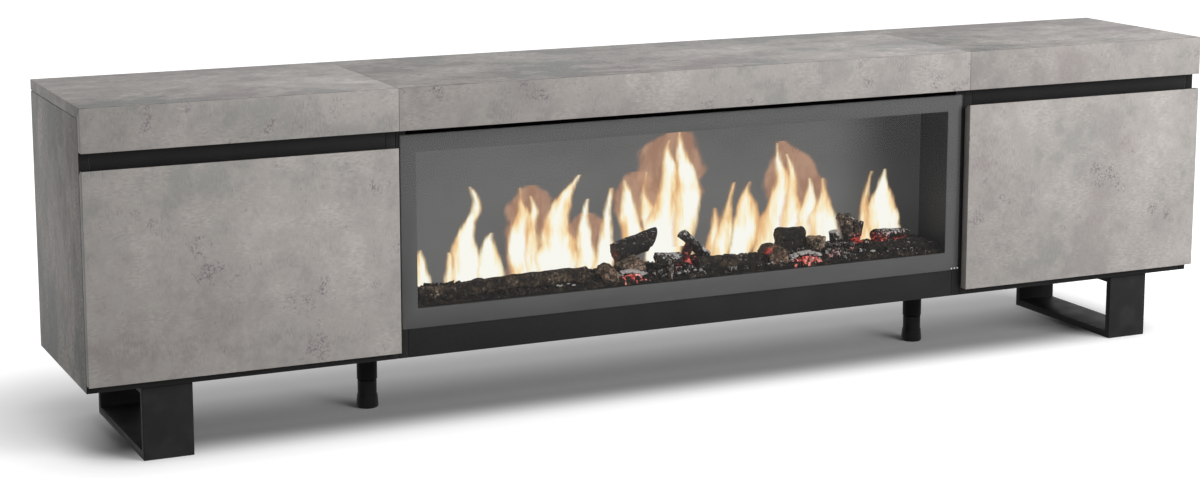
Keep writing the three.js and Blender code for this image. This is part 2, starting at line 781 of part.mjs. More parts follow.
// The flame drum turns behind the screen and throws the lamp light about
function addFlameDrive() {
  const x0 = motorX - drumSeatDepth + seatGap;
  const x1 = bushX + drumSeatDepth - seatGap;
  let drum = toSolid(barAlongX(drumShaftRadius, drumY, drumZ, x0, x1, drumSides));
  const pitch = (bushX - motorX) / (drumFlagCount + 1);
  for (let number = 1; number <= drumFlagCount; number += 1) {
    const flag = new THREE.BoxGeometry(drumFlagWidth, 2 * drumFlagReach, drumFlagThickness);
    flag.rotateX(2 * Math.PI * number / drumFlagsPerTurn);
    flag.translate(motorX + number * pitch, drumY, drumZ);
    drum = drum.add(toSolid(flag));
  }
  addPiece('flame_drum', fromSolid(drum), mirrorFinish());

  const half = motorSize / 2;
  const motor = toSolid(blockGeometry(
    [-caseInnerX, motorX], [drumY - half, drumY + half], [floorTopZ, drumZ + half],
  ));
  const seat = toSolid(barAlongX(
    drumShaftRadius + drumShaftClearance, drumY, drumZ,
    motorX - drumSeatDepth, motorX + cutOverrun, drumSides,
  ));
  addPiece('drum_motor', fromSolid(motor.subtract(seat)), plasticFinish());

  addBlock(
    'lamp_bar', lampFinish(),
    [-lampBarWidth / 2, lampBarWidth / 2],
    [screenY - lampBarSetback - lampBarDepth, screenY - lampBarSetback],
    [floorTopZ, floorTopZ + lampBarHeight],
  );
  const boxX = caseEndX - controlBoxInset;
  const boxY = caseBackY - sheetThickness - seatGap;
  addBlock(
    'control_box', plasticFinish(),
    [boxX - controlBoxWidth, boxX], [boxY - controlBoxDepth, boxY],
    [floorTopZ, floorTopZ + controlBoxHeight],
  );
}

function addPowerInlet() {
  const x0 = inletX - inletWidth / 2;
  const x1 = inletX + inletWidth / 2;
  const y0 = caseBackY + seatGap;
  const y1 = y0 + inletDepth;
  const z0 = inletZ - inletHeight / 2;
  const z1 = inletZ + inletHeight / 2;
  const wall = inletPocketWall;
  const body = toSolid(blockGeometry([x0, x1], [y0, y1], [z0, z1]));
  const pocket = toSolid(blockGeometry(
    [x0 + wall, x1 - wall], [y1 - inletPocketDepth, y1 + cutOverrun], [z0 + wall, z1 - wall],
  ));
  addPiece('power_inlet', fromSolid(body.subtract(pocket)), plasticFinish());
}

addSideCabinet('left', -1);
addSideCabinet('right', 1);
addFireCabinet();
addFireplaceCase();
addFront();
addFireBed();
addFlameDrive();
addPowerInlet();

export default group;
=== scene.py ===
import math
import random
from functools import partial

import bpy
from mathutils import Matrix, Vector, noise


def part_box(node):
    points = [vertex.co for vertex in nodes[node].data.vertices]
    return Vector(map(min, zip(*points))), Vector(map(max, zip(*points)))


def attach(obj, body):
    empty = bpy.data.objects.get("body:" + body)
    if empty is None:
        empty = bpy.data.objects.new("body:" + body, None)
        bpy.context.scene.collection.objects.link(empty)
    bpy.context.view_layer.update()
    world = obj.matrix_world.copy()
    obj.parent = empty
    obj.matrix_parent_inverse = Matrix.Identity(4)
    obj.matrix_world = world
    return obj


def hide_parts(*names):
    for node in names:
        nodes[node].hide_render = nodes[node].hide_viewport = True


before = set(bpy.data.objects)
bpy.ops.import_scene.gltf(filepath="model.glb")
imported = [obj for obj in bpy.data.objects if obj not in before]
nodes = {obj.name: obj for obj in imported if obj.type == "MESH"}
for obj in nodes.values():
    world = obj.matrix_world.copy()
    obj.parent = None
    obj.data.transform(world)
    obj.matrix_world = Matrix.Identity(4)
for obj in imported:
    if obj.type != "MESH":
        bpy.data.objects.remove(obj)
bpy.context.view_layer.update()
scene = bpy.context.scene


# Small helpers for node trees

def tint(red, green, blue):
    def channel(value):
        share = value / 255
        return share / 12.92 if share <= 0.04045 else ((share + 0.055) / 1.055) ** 2.4
    return (channel(red), channel(green), channel(blue), 1.0)


def feed(source, socket):
    if isinstance(source, bpy.types.NodeSocket):
        socket.id_data.links.new(source, socket)
    else:
        socket.default_value = source


def addNode(tree, kind, inputs=None, **settings):
    node = tree.nodes.new(kind)
    for name, value in settings.items():
        setattr(node, name, value)
    for socket, value in (inputs or {}).items():
        feed(value, node.inputs[socket])
    return node


def treeOf(*values):
    return next(value.id_data for value in values if isinstance(value, bpy.types.NodeSocket))


def reach(operation, first, second=0.0):
    inputs = {0: first, 1: second}
    return addNode(treeOf(first, second), "ShaderNodeMath", inputs, operation=operation).outputs[0]


plus = partial(reach, "ADD")
less = partial(reach, "SUBTRACT")
times = partial(reach, "MULTIPLY")


def remap(value, low, high, toLow=0.0, toHigh=1.0, kind="SMOOTHSTEP"):
    inputs = {"Value": value, "From Min": low, "From Max": high, "To Min": toLow, "To Max": toHigh}
    return addNode(treeOf(value), "ShaderNodeMapRange", inputs, interpolation_type=kind).outputs["Result"]


def blend(factor, first, second, mode="MIX"):
    inputs = {0: factor, 6: first, 7: second}
    tree = treeOf(factor, first, second)
    return addNode(tree, "ShaderNodeMix", inputs, data_type="RGBA", blend_type=mode).outputs[2]


def attribute(tree, name, output="Fac"):
    return addNode(tree, "ShaderNodeAttribute", attribute_name=name).outputs[output]


def objectPlace(tree):
    return addNode(tree, "ShaderNodeTexCoord").outputs["Object"]


def objectAxes(tree):
    return addNode(tree, "ShaderNodeSeparateXYZ", {0: objectPlace(tree)}).outputs


def patternPlace(tree, perMetre, shifted):
    place = objectPlace(tree)
    stretch = perMetre if isinstance(perMetre, tuple) else (perMetre,) * 3
    if shifted:
        for name, operation in (("boardStretch", "MULTIPLY"), ("boardShift", "ADD")):
            inputs = {0: place, 1: attribute(tree, name, "Vector")}
            place = addNode(tree, "ShaderNodeVectorMath", inputs, operation=operation).outputs[0]
    return addNode(tree, "ShaderNodeMapping", {"Vector": place, "Scale": stretch}).outputs[0]


def grain(tree, perMetre, detail=3.0, roughness=0.55, shifted=False):
    place = patternPlace(tree, perMetre, shifted)
    inputs = {"Vector": place, "Scale": 1, "Detail": detail, "Roughness": roughness}
    return addNode(tree, "ShaderNodeTexNoise", inputs).outputs["Fac"]


def toCrack(tree, perMetre):
    inputs = {"Vector": patternPlace(tree, perMetre, False), "Scale": 1}
    return addNode(tree, "ShaderNodeTexVoronoi", inputs, feature="DISTANCE_TO_EDGE").outputs["Distance"]


def relief(shader, height, strength, distance):
    inputs = {"Height": height, "Strength": strength, "Distance": distance}
    feed(addNode(treeOf(height), "ShaderNodeBump", inputs).outputs["Normal"], shader.inputs["Normal"])


def newMaterial(name, metallic=0.0, specular=0.5):
    material = bpy.data.materials.new(name)
    material.use_nodes = True
    shader = material.node_tree.nodes["Principled BSDF"]
    shader.inputs["Metallic"].default_value = metallic
    shader.inputs["Specular IOR Level"].default_value = specular
    return material, material.node_tree, shader


def bareMaterial(name):
    material = bpy.data.materials.new(name)
    material.use_nodes = True
    material.node_tree.nodes.clear()
    return material, material.node_tree


def mixShaders(factor, first, second):
    inputs = {0: factor, 1: first.outputs[0], 2: second.outputs[0]}
    return addNode(treeOf(factor), "ShaderNodeMixShader", inputs)


def showSurface(shader):
    addNode(shader.id_data, "ShaderNodeOutputMaterial", {"Surface": shader.outputs[0]})


# Camera, floor and light

cameraLook = {
    "place": (-1.7401, -3.5199, 1.0530),
    "turnRight": 24.97,  # degrees
    "tiltDown": 9.554,
    "lens": 71.21,
    "sensor": 36.0,
    "shiftDown": 0.08,
}

studioLook = {
    "floorSize": 60.0,
    "floorShade": 0.86,
    "floorBounce": 0.5,  # what other surfaces see of the floor
    "paintedShadowMiddle": (-0.022, 0.06),  # middle of the painted shadow on the floor under the stand
    "paintedShadowHalf": (0.888, 0.11),
    "nearLift": (0.0, 0.14, 0.0, 0.36),  # painted light that brightens the floor away from the painted shadow, as farLift does: distance from, distance to, strength from, strength to
    "farLift": (0.06, 0.42, 0.0, 0.55),
    "paintedUnderShade": (-0.14, 0.10, 0.20, 0.86),  # painted shadow under the stand, darkest at its front: depth from, depth to, floor shade from, shade to
    "paintedUnderLight": (-0.02, 0.17, 0.0, 0.20),  # the same, for painted light under the stand that stands for the light coming in from behind
    "underEdge": 0.13,
    "mirrored": (0.0, 1.2, 0.45, 1.0),  # as nearLift, for the floor that glass and metal mirror, with a painted shadow near the stand
    "worldLight": 0.27,
    "lamps": {  # place, target, size, watts
        "keyLamp": ((2.4, -3.6, 2.5), (0.0, -0.1, 0.3), (3.0, 2.2), 234.0),
        "topLamp": ((-0.3, -0.2, 3.4), (-0.3, -0.2, 0.0), (4.5, 3.0), 6.0),
    },
}


def addCamera():
    bpy.ops.object.camera_add(location=cameraLook["place"])
    camera = bpy.context.object
    tilt = math.radians(90 - cameraLook["tiltDown"])
    camera.rotation_euler = (tilt, 0, -math.radians(cameraLook["turnRight"]))
    camera.data.sensor_width = cameraLook["sensor"]
    camera.data.lens = cameraLook["lens"]
    camera.data.shift_y = -cameraLook["shiftDown"]
    camera.data.clip_end = 200
    scene.camera = camera
    print("camera placed")


def seenRays(tree):
    seen = addNode(tree, "ShaderNodeLightPath").outputs
    either = reach("MAXIMUM", seen["Is Camera Ray"], seen["Is Glossy Ray"])
    return reach("MAXIMUM", either, seen["Is Transmission Ray"])


def fromPaintedShadow(place):
    outside = []
    for axis, middle, half in zip("XY", studioLook["paintedShadowMiddle"], studioLook["paintedShadowHalf"]):
        fromMiddle = reach("ABSOLUTE", less(place[axis], middle))
        beyond = reach("MAXIMUM", less(fromMiddle, half), 0.0)
        outside.append(times(beyond, beyond))
    return reach("SQRT", plus(*outside))


def addFloor():
    look = studioLook
    bpy.ops.mesh.primitive_plane_add(size=look["floorSize"], location=(0, 0, 0))
    floor = bpy.context.object
    floor.name = "studioFloor"
    material, tree = bareMaterial("studioFloorPaint")
    place = objectAxes(tree)
    away = fromPaintedShadow(place)
    # Painted shadow: within and near the stand's footprint the floor is painted darker and given less glow
    inPaintedShadow = remap(away, 0.0, look["underEdge"], 1.0, 0.0)
    paintedUnderShade = remap(place["Y"], *look["paintedUnderShade"])
    paintedUnderLight = remap(place["Y"], *look["paintedUnderLight"])
    paintedShadowDepth = times(inPaintedShadow, less(look["floorShade"], paintedUnderShade))
    shown = addNode(tree, "ShaderNodeBsdfDiffuse", {"Color": less(look["floorShade"], paintedShadowDepth)})
    outside = plus(remap(away, *look["nearLift"]), remap(away, *look["farLift"]))
    strength = plus(outside, times(inPaintedShadow, paintedUnderLight))
    lift = addNode(tree, "ShaderNodeEmission", {"Strength": strength})
    both = addNode(tree, "ShaderNodeAddShader", {0: shown.outputs[0], 1: lift.outputs[0]})
    bounce = addNode(tree, "ShaderNodeBsdfDiffuse", {"Color": (*[look["floorBounce"]] * 3, 1)})
    choice = mixShaders(seenRays(tree), bounce, both)
    mirrored = addNode(tree, "ShaderNodeEmission", {"Strength": remap(away, *look["mirrored"])})
    isGlossy = addNode(tree, "ShaderNodeLightPath").outputs["Is Glossy Ray"]
    showSurface(mixShaders(isGlossy, choice, mirrored))
    floor.data.materials.append(material)


def addWorld():
    world = bpy.data.worlds.new("studioSky")
    scene.world = world
    world.use_nodes = True
    tree = world.node_tree
    background = tree.nodes["Background"]
    background.inputs["Color"].default_value = (1, 1, 1, 1)
    strength = remap(seenRays(tree), 0, 1, studioLook["worldLight"], 1, "LINEAR")
    feed(strength, background.inputs["Strength"])


def addLamp(name, place, target, size, power):
    bpy.ops.object.light_add(type="AREA", location=place)
    lamp = bpy.context.object
    lamp.name = name
    lamp.data.shape = "RECTANGLE"
    lamp.data.size, lamp.data.size_y = size
    lamp.data.energy = power
    lamp.rotation_euler = (Vector(target) - Vector(place)).to_track_quat("-Z", "Y").to_euler()
    lamp.visible_glossy = False


def addStudio():
    addFloor()
    addWorld()
    for name, values in studioLook["lamps"].items():
        addLamp(name, *values)
    scene.view_settings.view_transform = "Standard"
    print("studio lit")


# Materials with a look of their own

concreteLook = {
    "base": (162, 157, 153),
    "greenish": (137, 138, 135),
    "pinkish": (143, 136, 135),
    "light": (180, 174, 170),
    "speck": (108, 102, 108),
    "cloud": (7.5, 5, 0.62),  # patches per metre, detail, roughness
    "wisp": (26.0, 4, 0.65),
    "broad": (4.3, 2, 0.5),
    "patch": (15.0, 3, 0.6),  # where dashes lie or stand
    "mottle": (62.0, 4, 0.75),
    "stain": (13.0, 3, 0.7),
    "mottleDepth": 0.30,
    "wispDepth": 0.15,
    "dash": (310, 115),  # dashes per metre, across and along
    "dashDepths": (0.16, 1.15),  # least and most
    "speckle": (330, 330, 260),  # grains of a stain per metre along X, Y and Z
    "loneSpeck": (160, 160, 130),
    "stainDepth": 0.8,
    "roughness": (0.46, 0.62),
    "relief": (0.12, 0.0004),  # strength, metres
}


def concreteLaminate():
    look = concreteLook
    material, tree, shader = newMaterial("concreteLaminate", specular=0.35)

    def pattern(name):
        perMetre, detail, roughness = look[name]
        return grain(tree, perMetre, detail, roughness, True)

    def swing(value, depth):
        return times(less(value, 0.5), depth)

    # Stronger contrast on top and side boards also darkens them: painted shade besides pattern strength
    contrastAndShade = attribute(tree, "boardContrastAndShade")
    wispDepth = look["wispDepth"]
    wisp = remap(pattern("wisp"), 0.25, 0.75, -wispDepth, wispDepth, "LINEAR")
    cloud = plus(pattern("cloud"), wisp)
    broad = remap(pattern("broad"), 0.42, 0.58)
    shady = blend(broad, tint(*look["greenish"]), tint(*look["pinkish"]))
    shadow = times(remap(cloud, 0.34, 0.54, 1, 0), contrastAndShade)
    color = blend(shadow, tint(*look["base"]), shady)
    lighter = times(remap(cloud, 0.53, 0.72), contrastAndShade)
    color = blend(lighter, color, tint(*look["light"]))
    across, along = look["dash"]
    lying = grain(tree, (along, across, across), 3, 0.6, True)
    standing = grain(tree, (across, across, along), 3, 0.6, True)
    patch = pattern("patch")
    least, most = look["dashDepths"]
    lyingShade = swing(lying, remap(patch, 0.46, 0.62, least, most))
    standingShade = swing(standing, remap(patch, 0.36, 0.52, most, least))
    shade = plus(swing(pattern("mottle"), look["mottleDepth"]), plus(lyingShade, standingShade))
    shade = plus(1.0, times(shade, contrastAndShade))
    color = blend(1.0, color, shade, "MULTIPLY")
    speckle = remap(grain(tree, look["speckle"], 2, 0.6, True), 0.46, 0.62, 0.1, 1)
    stain = times(remap(pattern("stain"), 0.565, 0.69), speckle)
    lone = remap(grain(tree, look["loneSpeck"], 1, 0.5, True), 0.74, 0.80, 0, 0.5)
    dirt = reach("MAXIMUM", times(stain, look["stainDepth"]), lone)
    color = blend(dirt, color, tint(*look["speck"]))
    feed(color, shader.inputs["Base Color"])
    feed(remap(standing, 0.3, 0.7, *look["roughness"]), shader.inputs["Roughness"])
    relief(shader, plus(lying, standing), *look["relief"])
    return material


glassLook = {
    "tint": (0.97, 0.98, 0.98),
    "smear": 7,  # smears per metre
    "smearDepth": (0.92, 1.04),
    "headOn": 0.03,  # share of light mirrored head on
    "falloff": 5.0,
}


def clearGlass():
    look = glassLook
    material, tree = bareMaterial("clearGlass")
    clear = addNode(tree, "ShaderNodeBsdfTransparent", {"Color": (*look["tint"], 1)})
    shine = addNode(tree, "ShaderNodeBsdfGlossy", {"Roughness": 0.0})
    facing = addNode(tree, "ShaderNodeLayerWeight", {"Blend": 0.5}).outputs["Facing"]
    grazing = reach("POWER", facing, look["falloff"])
    mirror = remap(grazing, 0, 1, look["headOn"], 1, "LINEAR")
    smear = grain(tree, look["smear"], 4, 0.6)
    mirror = times(mirror, remap(smear, 0.3, 0.7, *look["smearDepth"], "LINEAR"))
    back = addNode(tree, "ShaderNodeNewGeometry").outputs["Backfacing"]
    mirror = times(mirror, less(1.0, back))
    showSurface(mixShaders(mirror, clear, shine))
    return material


screenLook = {
    "shade": (30, 30, 31),
    "light": (1.0, 0.97, 0.95),
    "haze": 0.111,  # painted light: how brightly the milky screen glows, in place of the light that falls on it through the glass
    "fade": (0.30, 0.44, 1, 0.22),  # painted light dimmer towards the screen's right end: X from, X to, share of the glow from, share to
    "cloud": (5, 5, 9),
    "cloudDepth": (0.88, 1.1),
}


def milkyScreen():
    look = screenLook
    material, tree, shader = newMaterial("milkyScreen", specular=0.2)
    cloud = grain(tree, look["cloud"], 3)
    # Painted light: the screen's glow stands in for light falling on it, and dims towards its right end
    side = remap(objectAxes(tree)["X"], *look["fade"])
    level = times(side, remap(cloud, 0.3, 0.7, *look["cloudDepth"]))
    shader.inputs["Base Color"].default_value = tint(*look["shade"])
    feed(remap(cloud, 0.3, 0.7, 0.5, 0.6), shader.inputs["Roughness"])
    shader.inputs["Emission Color"].default_value = (*look["light"], 1)
    feed(times(level, look["haze"]), shader.inputs["Emission Strength"])
    return material


charLook = {
    "dark": (27, 22, 19),
    "brown": (74, 61, 49),
    "tan": (166, 142, 122),
    "ring": (120, 84, 70),
    "crackShade": (12, 10, 9),
    "ash": (184, 179, 177),
    "glow": (0.55, 0.035, 0.03),
    "hotGlow": (1.0, 0.34, 0.27),
    "crack": (120, 120, 70),  # cracks per metre along X, Y and Z
    "fine": 240,
    "broad": 60,
    "ringGap": 0.0032,
    "relief": (0.6, 0.0012),  # strength, metres
}


def charredWood():
    look = charLook
    material, tree, shader = newMaterial("charredWood", specular=0.25)
    edge = toCrack(tree, look["crack"])
    fine = grain(tree, look["fine"], 4, 0.65)
    broad = grain(tree, look["broad"], 3, 0.6)

    def swung(name, pattern, depth):
        return plus(attribute(tree, name), remap(pattern, 0.3, 0.7, -depth, depth))

    bark = plus(swung("tone", broad, 0.35), remap(fine, 0.3, 0.7, -0.3, 0.3))
    color = blend(remap(bark, 0.15, 0.8), tint(*look["dark"]), tint(*look["brown"]))
    color = blend(remap(bark, 0.8, 1.4), color, tint(*look["tan"]))
    radius = attribute(tree, "ring")  # metres from the heart, on a cut end only
    wave = reach("SINE", times(radius, 2 * math.pi / look["ringGap"]))
    ring = times(remap(wave, -0.4, 0.8), remap(radius, 0.0002, 0.001))
    color = blend(times(ring, 0.7), color, tint(*look["ring"]))
    crack = remap(edge, 0.02, 0.13, 1, 0)
    color = blend(times(crack, 0.75), color, tint(*look["crackShade"]))
    dust = plus(swung("ash", fine, 0.45), remap(edge, 0.0, 0.35, 0.15, -0.2))
    color = blend(remap(dust, 0.4, 0.8, 0, 0.9), color, tint(*look["ash"]))
    feed(color, shader.inputs["Base Color"])
    feed(remap(fine, 0.3, 0.7, 0.75, 0.95), shader.inputs["Roughness"])
    heat = swung("glow", fine, 0.4)
    lit = times(remap(heat, 0.35, 0.9), remap(edge, 0.03, 0.3, 1, 0.3))
    ember = blend(remap(heat, 0.9, 1.5), (*look["glow"], 1), (*look["hotGlow"], 1))
    feed(ember, shader.inputs["Emission Color"])
    feed(lit, shader.inputs["Emission Strength"])
    height = plus(times(fine, 0.5), remap(edge, 0, 0.2))
    relief(shader, height, *look["relief"])
    return material


flamePaint = {
    "stops": (  # metres inwards from the flame's edge, color
        (0.0, (0.50, 0.24, 0.11)), (0.0045, (0.88, 0.52, 0.24)), (0.0090, (1.0, 0.79, 0.47)),
        (0.014, (1.0, 0.92, 0.71)), (0.020, (1.0, 0.98, 0.905)),
    ),
    "fade": (0.0004, 0.0105),  # metres inwards where the flame begins and where it is full
    "edge": ((95, 95, 26), 3, 0.55),  # per metre, detail, roughness
    "ragged": 0.0030,
    "vein": ((60, 60, 13), 3, 0.6),
    "veinRange": (0.32, 0.58, 0.5, 1.15),
    "fringe": ((14, 14, 9), 2, 0.5),  # wide orange fringes in one place, crisp white edges in another
    "fringeRange": (0.40, 0.62, 0.65, 1.7),
    "haze": ((0.42, 0.215, 0.13), (0.56, 0.32, 0.205)),
    "hazeSwirl": ((45, 45, 24), 3, 0.6),
    "hazeFade": (0.001, 0.016, 0, 0.76),
    "hazeRagged": 0.005,
}


def lightThrough(tree, color, cover):
    clear = addNode(tree, "ShaderNodeBsdfTransparent")
    light = addNode(tree, "ShaderNodeEmission", {"Color": color})
    showSurface(mixShaders(cover, clear, light))


def raggedDepth(tree, pattern, rag):
    depth = attribute(tree, "flameDepth")  # metres inwards from the flame's edge
    return plus(depth, remap(pattern, 0.25, 0.75, -rag, rag, "LINEAR"))


def flameLight():
    look = flamePaint
    material, tree = bareMaterial("flameLight")
    ragged = raggedDepth(tree, grain(tree, *look["edge"]), look["ragged"])
    hot = times(ragged, remap(grain(tree, *look["vein"]), *look["veinRange"]))
    hot = times(hot, remap(grain(tree, *look["fringe"]), *look["fringeRange"]))
    deepest = look["stops"][-1][0]
    ramp = addNode(tree, "ShaderNodeValToRGB", {0: remap(hot, 0.0, deepest, 0, 1, "LINEAR")})
    elements = ramp.color_ramp.elements
    while len(elements) < len(look["stops"]):
        elements.new(0.5)
    for element, (place, color) in zip(elements, look["stops"]):
        element.position = place / deepest
        element.color = (*color, 1)
    lightThrough(tree, ramp.outputs[0], remap(ragged, *look["fade"]))
    return material


def hazeLight():
    look = flamePaint
    material, tree = bareMaterial("flameHaze")
    swirl = grain(tree, *look["hazeSwirl"])
    dull, bright = look["haze"]
    color = blend(remap(swirl, 0.35, 0.65), (*dull, 1), (*bright, 1))
    ragged = raggedDepth(tree, swirl, look["hazeRagged"])
    lightThrough(tree, color, remap(ragged, *look["hazeFade"]))
    return material


# Plain materials: two shades mixed by one grain (per metre, detail, roughness). "mix" is the grain's range
# for the shades, "rough" the roughness from and to, "bump" a strength and a height in metres.

plainPaints = {
    "blackLaminate": {
        "specular": 0.17, "grain": (900, 2),
        "shades": ((32, 32, 32), (41, 41, 41)), "rough": (0.5, 0.66),
        "cloud": (9, 0.35, (47, 46, 46)),  # per metre, share, shade
        "bump": (0.25, 0.0002),
    },
    "darkEdgePaint": {
        "specular": 0.15, "grain": ((60, 60, 900), 2),
        "shades": ((26, 25, 25), (34, 33, 33)), "rough": (0.42, 0.55),
        "bump": (0.2, 0.0001),
    },
    "backFibreboard": {
        "specular": 0.25, "grain": ((260, 260, 520), 4, 0.7), "mix": (0.35, 0.68),
        "shades": ((82, 78, 74), (104, 99, 93)), "rough": (0.6, 0.8),
        "cloud": (6, 0.4, (92, 84, 76)), "bump": (0.3, 0.0003),
    },
    "powderCoatedSteel": {
        "specular": 0.08, "grain": (25, 3), "mix": (0.35, 0.7),
        "shades": ((42, 42, 43), (51, 51, 52)), "rough": (0.44, 0.56),
        "bumpGrain": (750, 2), "bump": (0.35, 0.0003),
    },
    "nickelPlatedSteel": {
        "metallic": 1.0, "grain": (70, 3), "mix": (0.4, 0.7),
        "shades": ((196, 196, 194), (158, 158, 160)), "rough": (0.22, 0.42), "roughTo": 0.75,
        "bumpGrain": ((60, 60, 1400), 3), "bump": (0.15, 0.0001),
    },
    "blackenedCaseSteel": {
        "specular": 0.4, "grain": (14, 4), "mix": (0.35, 0.7),
        "shades": ((35, 35, 35), (46, 46, 46)), "rough": (0.45, 0.62),
        "bumpGrain": (600, 2), "bump": (0.25, 0.0002),
    },
    "frameEnamel": {
        "specular": 0.3, "grain": (700, 2), "mix": (0.4, 0.7, 0, 0.3),
        "shades": ((85, 84, 83), (95, 94, 93)), "rough": (0.42, 0.55),
        "cloud": ((4, 4, 12), 0.4, (77, 76, 76)),
    },
    "blackPlastic": {
        "specular": 0.15, "grain": (1100, 2),
        "shades": ((15, 15, 16), (23, 23, 24)), "rough": (0.42, 0.58),
        "bump": (0.3, 0.0002),
    },
    "lampPlastic": {
        "grain": (240, 2),
        "shades": ((226, 222, 212), (238, 235, 228)), "rough": (0.3, 0.42),
        "glow": ((1.0, 0.55, 0.22), 0.6),  # color, strength
    },
    "polishedMetal": {
        "metallic": 1.0, "grain": ((40, 900, 900), 3), "mix": (0.35, 0.7),
        "shades": ((205, 206, 208), (182, 183, 186)), "rough": (0.12, 0.26),
        "bump": (0.08, 0.0001),
    },
    "indicatorDot": {
        "specular": 0.4, "grain": (900, 2),
        "shades": ((196, 196, 196), (214, 214, 214)), "rough": 0.4,
    },
}
# The round legs' coat: the sled legs' powder coat in darker shades, a painted shade
plainPaints["legPowderCoat"] = {**plainPaints["powderCoatedSteel"], "shades": ((19, 19, 20), (26, 26, 27))}


def plainPaint(name):
    look = plainPaints[name]
    material, tree, shader = newMaterial(name, look.get("metallic", 0.0), look.get("specular", 0.5))
    own = grain(tree, *look["grain"])
    dark, light = look["shades"]
    color = blend(remap(own, *look.get("mix", (0.35, 0.65))), tint(*dark), tint(*light))
    if "cloud" in look:
        stretch, share, shade = look["cloud"]
        color = blend(remap(grain(tree, stretch), 0.4, 0.7, 0, share), color, tint(*shade))
    feed(color, shader.inputs["Base Color"])
    rough = look["rough"]
    if isinstance(rough, tuple):
        rough = remap(own, 0.3, look.get("roughTo", 0.7), *rough)
    feed(rough, shader.inputs["Roughness"])
    if "bump" in look:
        height = grain(tree, *look["bumpGrain"]) if "bumpGrain" in look else own
        relief(shader, height, *look["bump"])
    if "glow" in look:
        shader.inputs["Emission Color"].default_value = (*look["glow"][0], 1)
        shader.inputs["Emission Strength"].default_value = look["glow"][1]
    return material


# Small helpers for pieces

def pickOnly(piece):
    bpy.ops.object.select_all(action="DESELECT")
    piece.select_set(True)
    bpy.context.view_layer.objects.active = piece


def pieceName(node):
    words = node.split("_")
    return words[0] + "".join(word.capitalize() for word in words[1:])


def settle(piece, body, material=None):
    if material:
        piece.data.materials.clear()
        piece.data.materials.append(material)
    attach(piece, body)


def editAll():
    bpy.ops.object.mode_set(mode="EDIT")
    bpy.ops.mesh.select_all(action="SELECT")


def editOnly(piece, kind, chosen):
    bpy.ops.object.mode_set(mode="EDIT")
    bpy.ops.mesh.select_mode(type=kind)
    bpy.ops.mesh.select_all(action="DESELECT")
    bpy.ops.object.mode_set(mode="OBJECT")
    for part in piece.data.edges if kind == "EDGE" else piece.data.polygons:
        part.select = chosen(part)
    bpy.ops.object.mode_set(mode="EDIT")


def endEdit():
    bpy.ops.object.mode_set(mode="OBJECT")


def extrudeBy(height):
    bpy.ops.mesh.extrude_region_move(TRANSFORM_OT_translate={"value": (0, 0, height)})


def faceOutwards():
    bpy.ops.mesh.select_all(action="SELECT")
    bpy.ops.mesh.normals_make_consistent(inside=False)
    endEdit()


def shadeByAngle(degrees):
    bpy.ops.object.shade_smooth_by_angle(angle=math.radians(degrees))


def copyMesh(source, name):
    piece = bpy.data.objects.new(name, source.data.copy())
    scene.collection.objects.link(piece)
    return piece


def cleanCopy(node):
    piece = copyMesh(nodes[node], pieceName(node))
    pickOnly(piece)
    if piece.data.has_custom_normals:
        bpy.ops.mesh.customdata_custom_splitnormals_clear()
    editAll()
    bpy.ops.mesh.remove_doubles(threshold=0.00002)
    bpy.ops.mesh.dissolve_limited(angle_limit=math.radians(0.5))
    endEdit()
    return piece


def applyBevel(piece, width, segments, angle=30):
    pickOnly(piece)
    bevel = piece.modifiers.new("edges", "BEVEL")
    bevel.width = width
    bevel.segments = segments
    bevel.limit_method = "ANGLE"
    bevel.angle_limit = math.radians(angle)
    bevel.use_clamp_overlap = True
    bpy.ops.object.modifier_apply(modifier=bevel.name)
    shadeByAngle(35)


def dress(node, body, material, bevel=0.0006, segments=2):
    piece = cleanCopy(node)
    applyBevel(piece, bevel, segments)
    settle(piece, body, material)
    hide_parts(node)
    return piece


def applyPlace(piece):
    pickOnly(piece)
    bpy.ops.object.transform_apply(location=True, rotation=True, scale=True)


def joinPieces(parts, name):
    bpy.ops.object.select_all(action="DESELECT")
    for part in parts:
        part.select_set(True)
    bpy.context.view_layer.objects.active = parts[0]
    if len(parts) > 1:
        bpy.ops.object.join()
    whole = bpy.context.view_layer.objects.active
    whole.name = name
    applyPlace(whole)
    return whole


def paint(piece, name, rule):
    values = piece.data.attributes.new(name, "FLOAT", "POINT").data
    for vertex in piece.data.vertices:
        values[vertex.index].value = rule(vertex.co, vertex.normal)


def copyTo(source, place):
    piece = copyMesh(source, source.name + "Copy")
    piece.data.transform(place)
    return piece


# Boards

boardLook = {
    "edge": 0.0006,
    "jointEdge": 0.0001,  # where a top board and its fascia meet in a mitre
    "stretch": {"top": (0.7, 0.9, 1.0), "side": (1.0, 1.1, 0.55), "front": (1.0, 1.0, 1.0)},
    # Pattern strength per kind of board; the higher top and side values also darken those boards, a painted
    # shade
    "contrastAndShade": {"top": 1.7, "side": 2.4, "front": 0.62},
}

concreteBoards = {  # where each board's pattern starts
    "left_top_board": (0.3, 1.1, 0.2),
    "fire_top_board": (4.2, 2.3, 1.7),
    "right_top_board": (7.9, 0.4, 3.1),
    "left_fascia": (2.6, 5.2, 4.4),
    "fire_fascia": (9.3, 3.6, 0.9),
    "right_fascia": (5.8, 7.7, 2.2),
    "left_outer_side_panel": (1.4, 6.1, 8.3),
    "right_outer_side_panel": (6.7, 8.8, 5.5),
    "left_door": (3.5, 4.9, 6.6),
    "right_door": (8.1, 9.2, 7.4),
}

blackBoards = [
    "left_inner_side_panel", "right_inner_side_panel", "fire_left_side_panel",
    "fire_right_side_panel", "left_bottom_board", "right_bottom_board", "fire_bottom_board",
    "left_shelf", "right_shelf", "left_grip_rail", "right_grip_rail", "fire_front_rail",
    "fire_rear_batten",
]


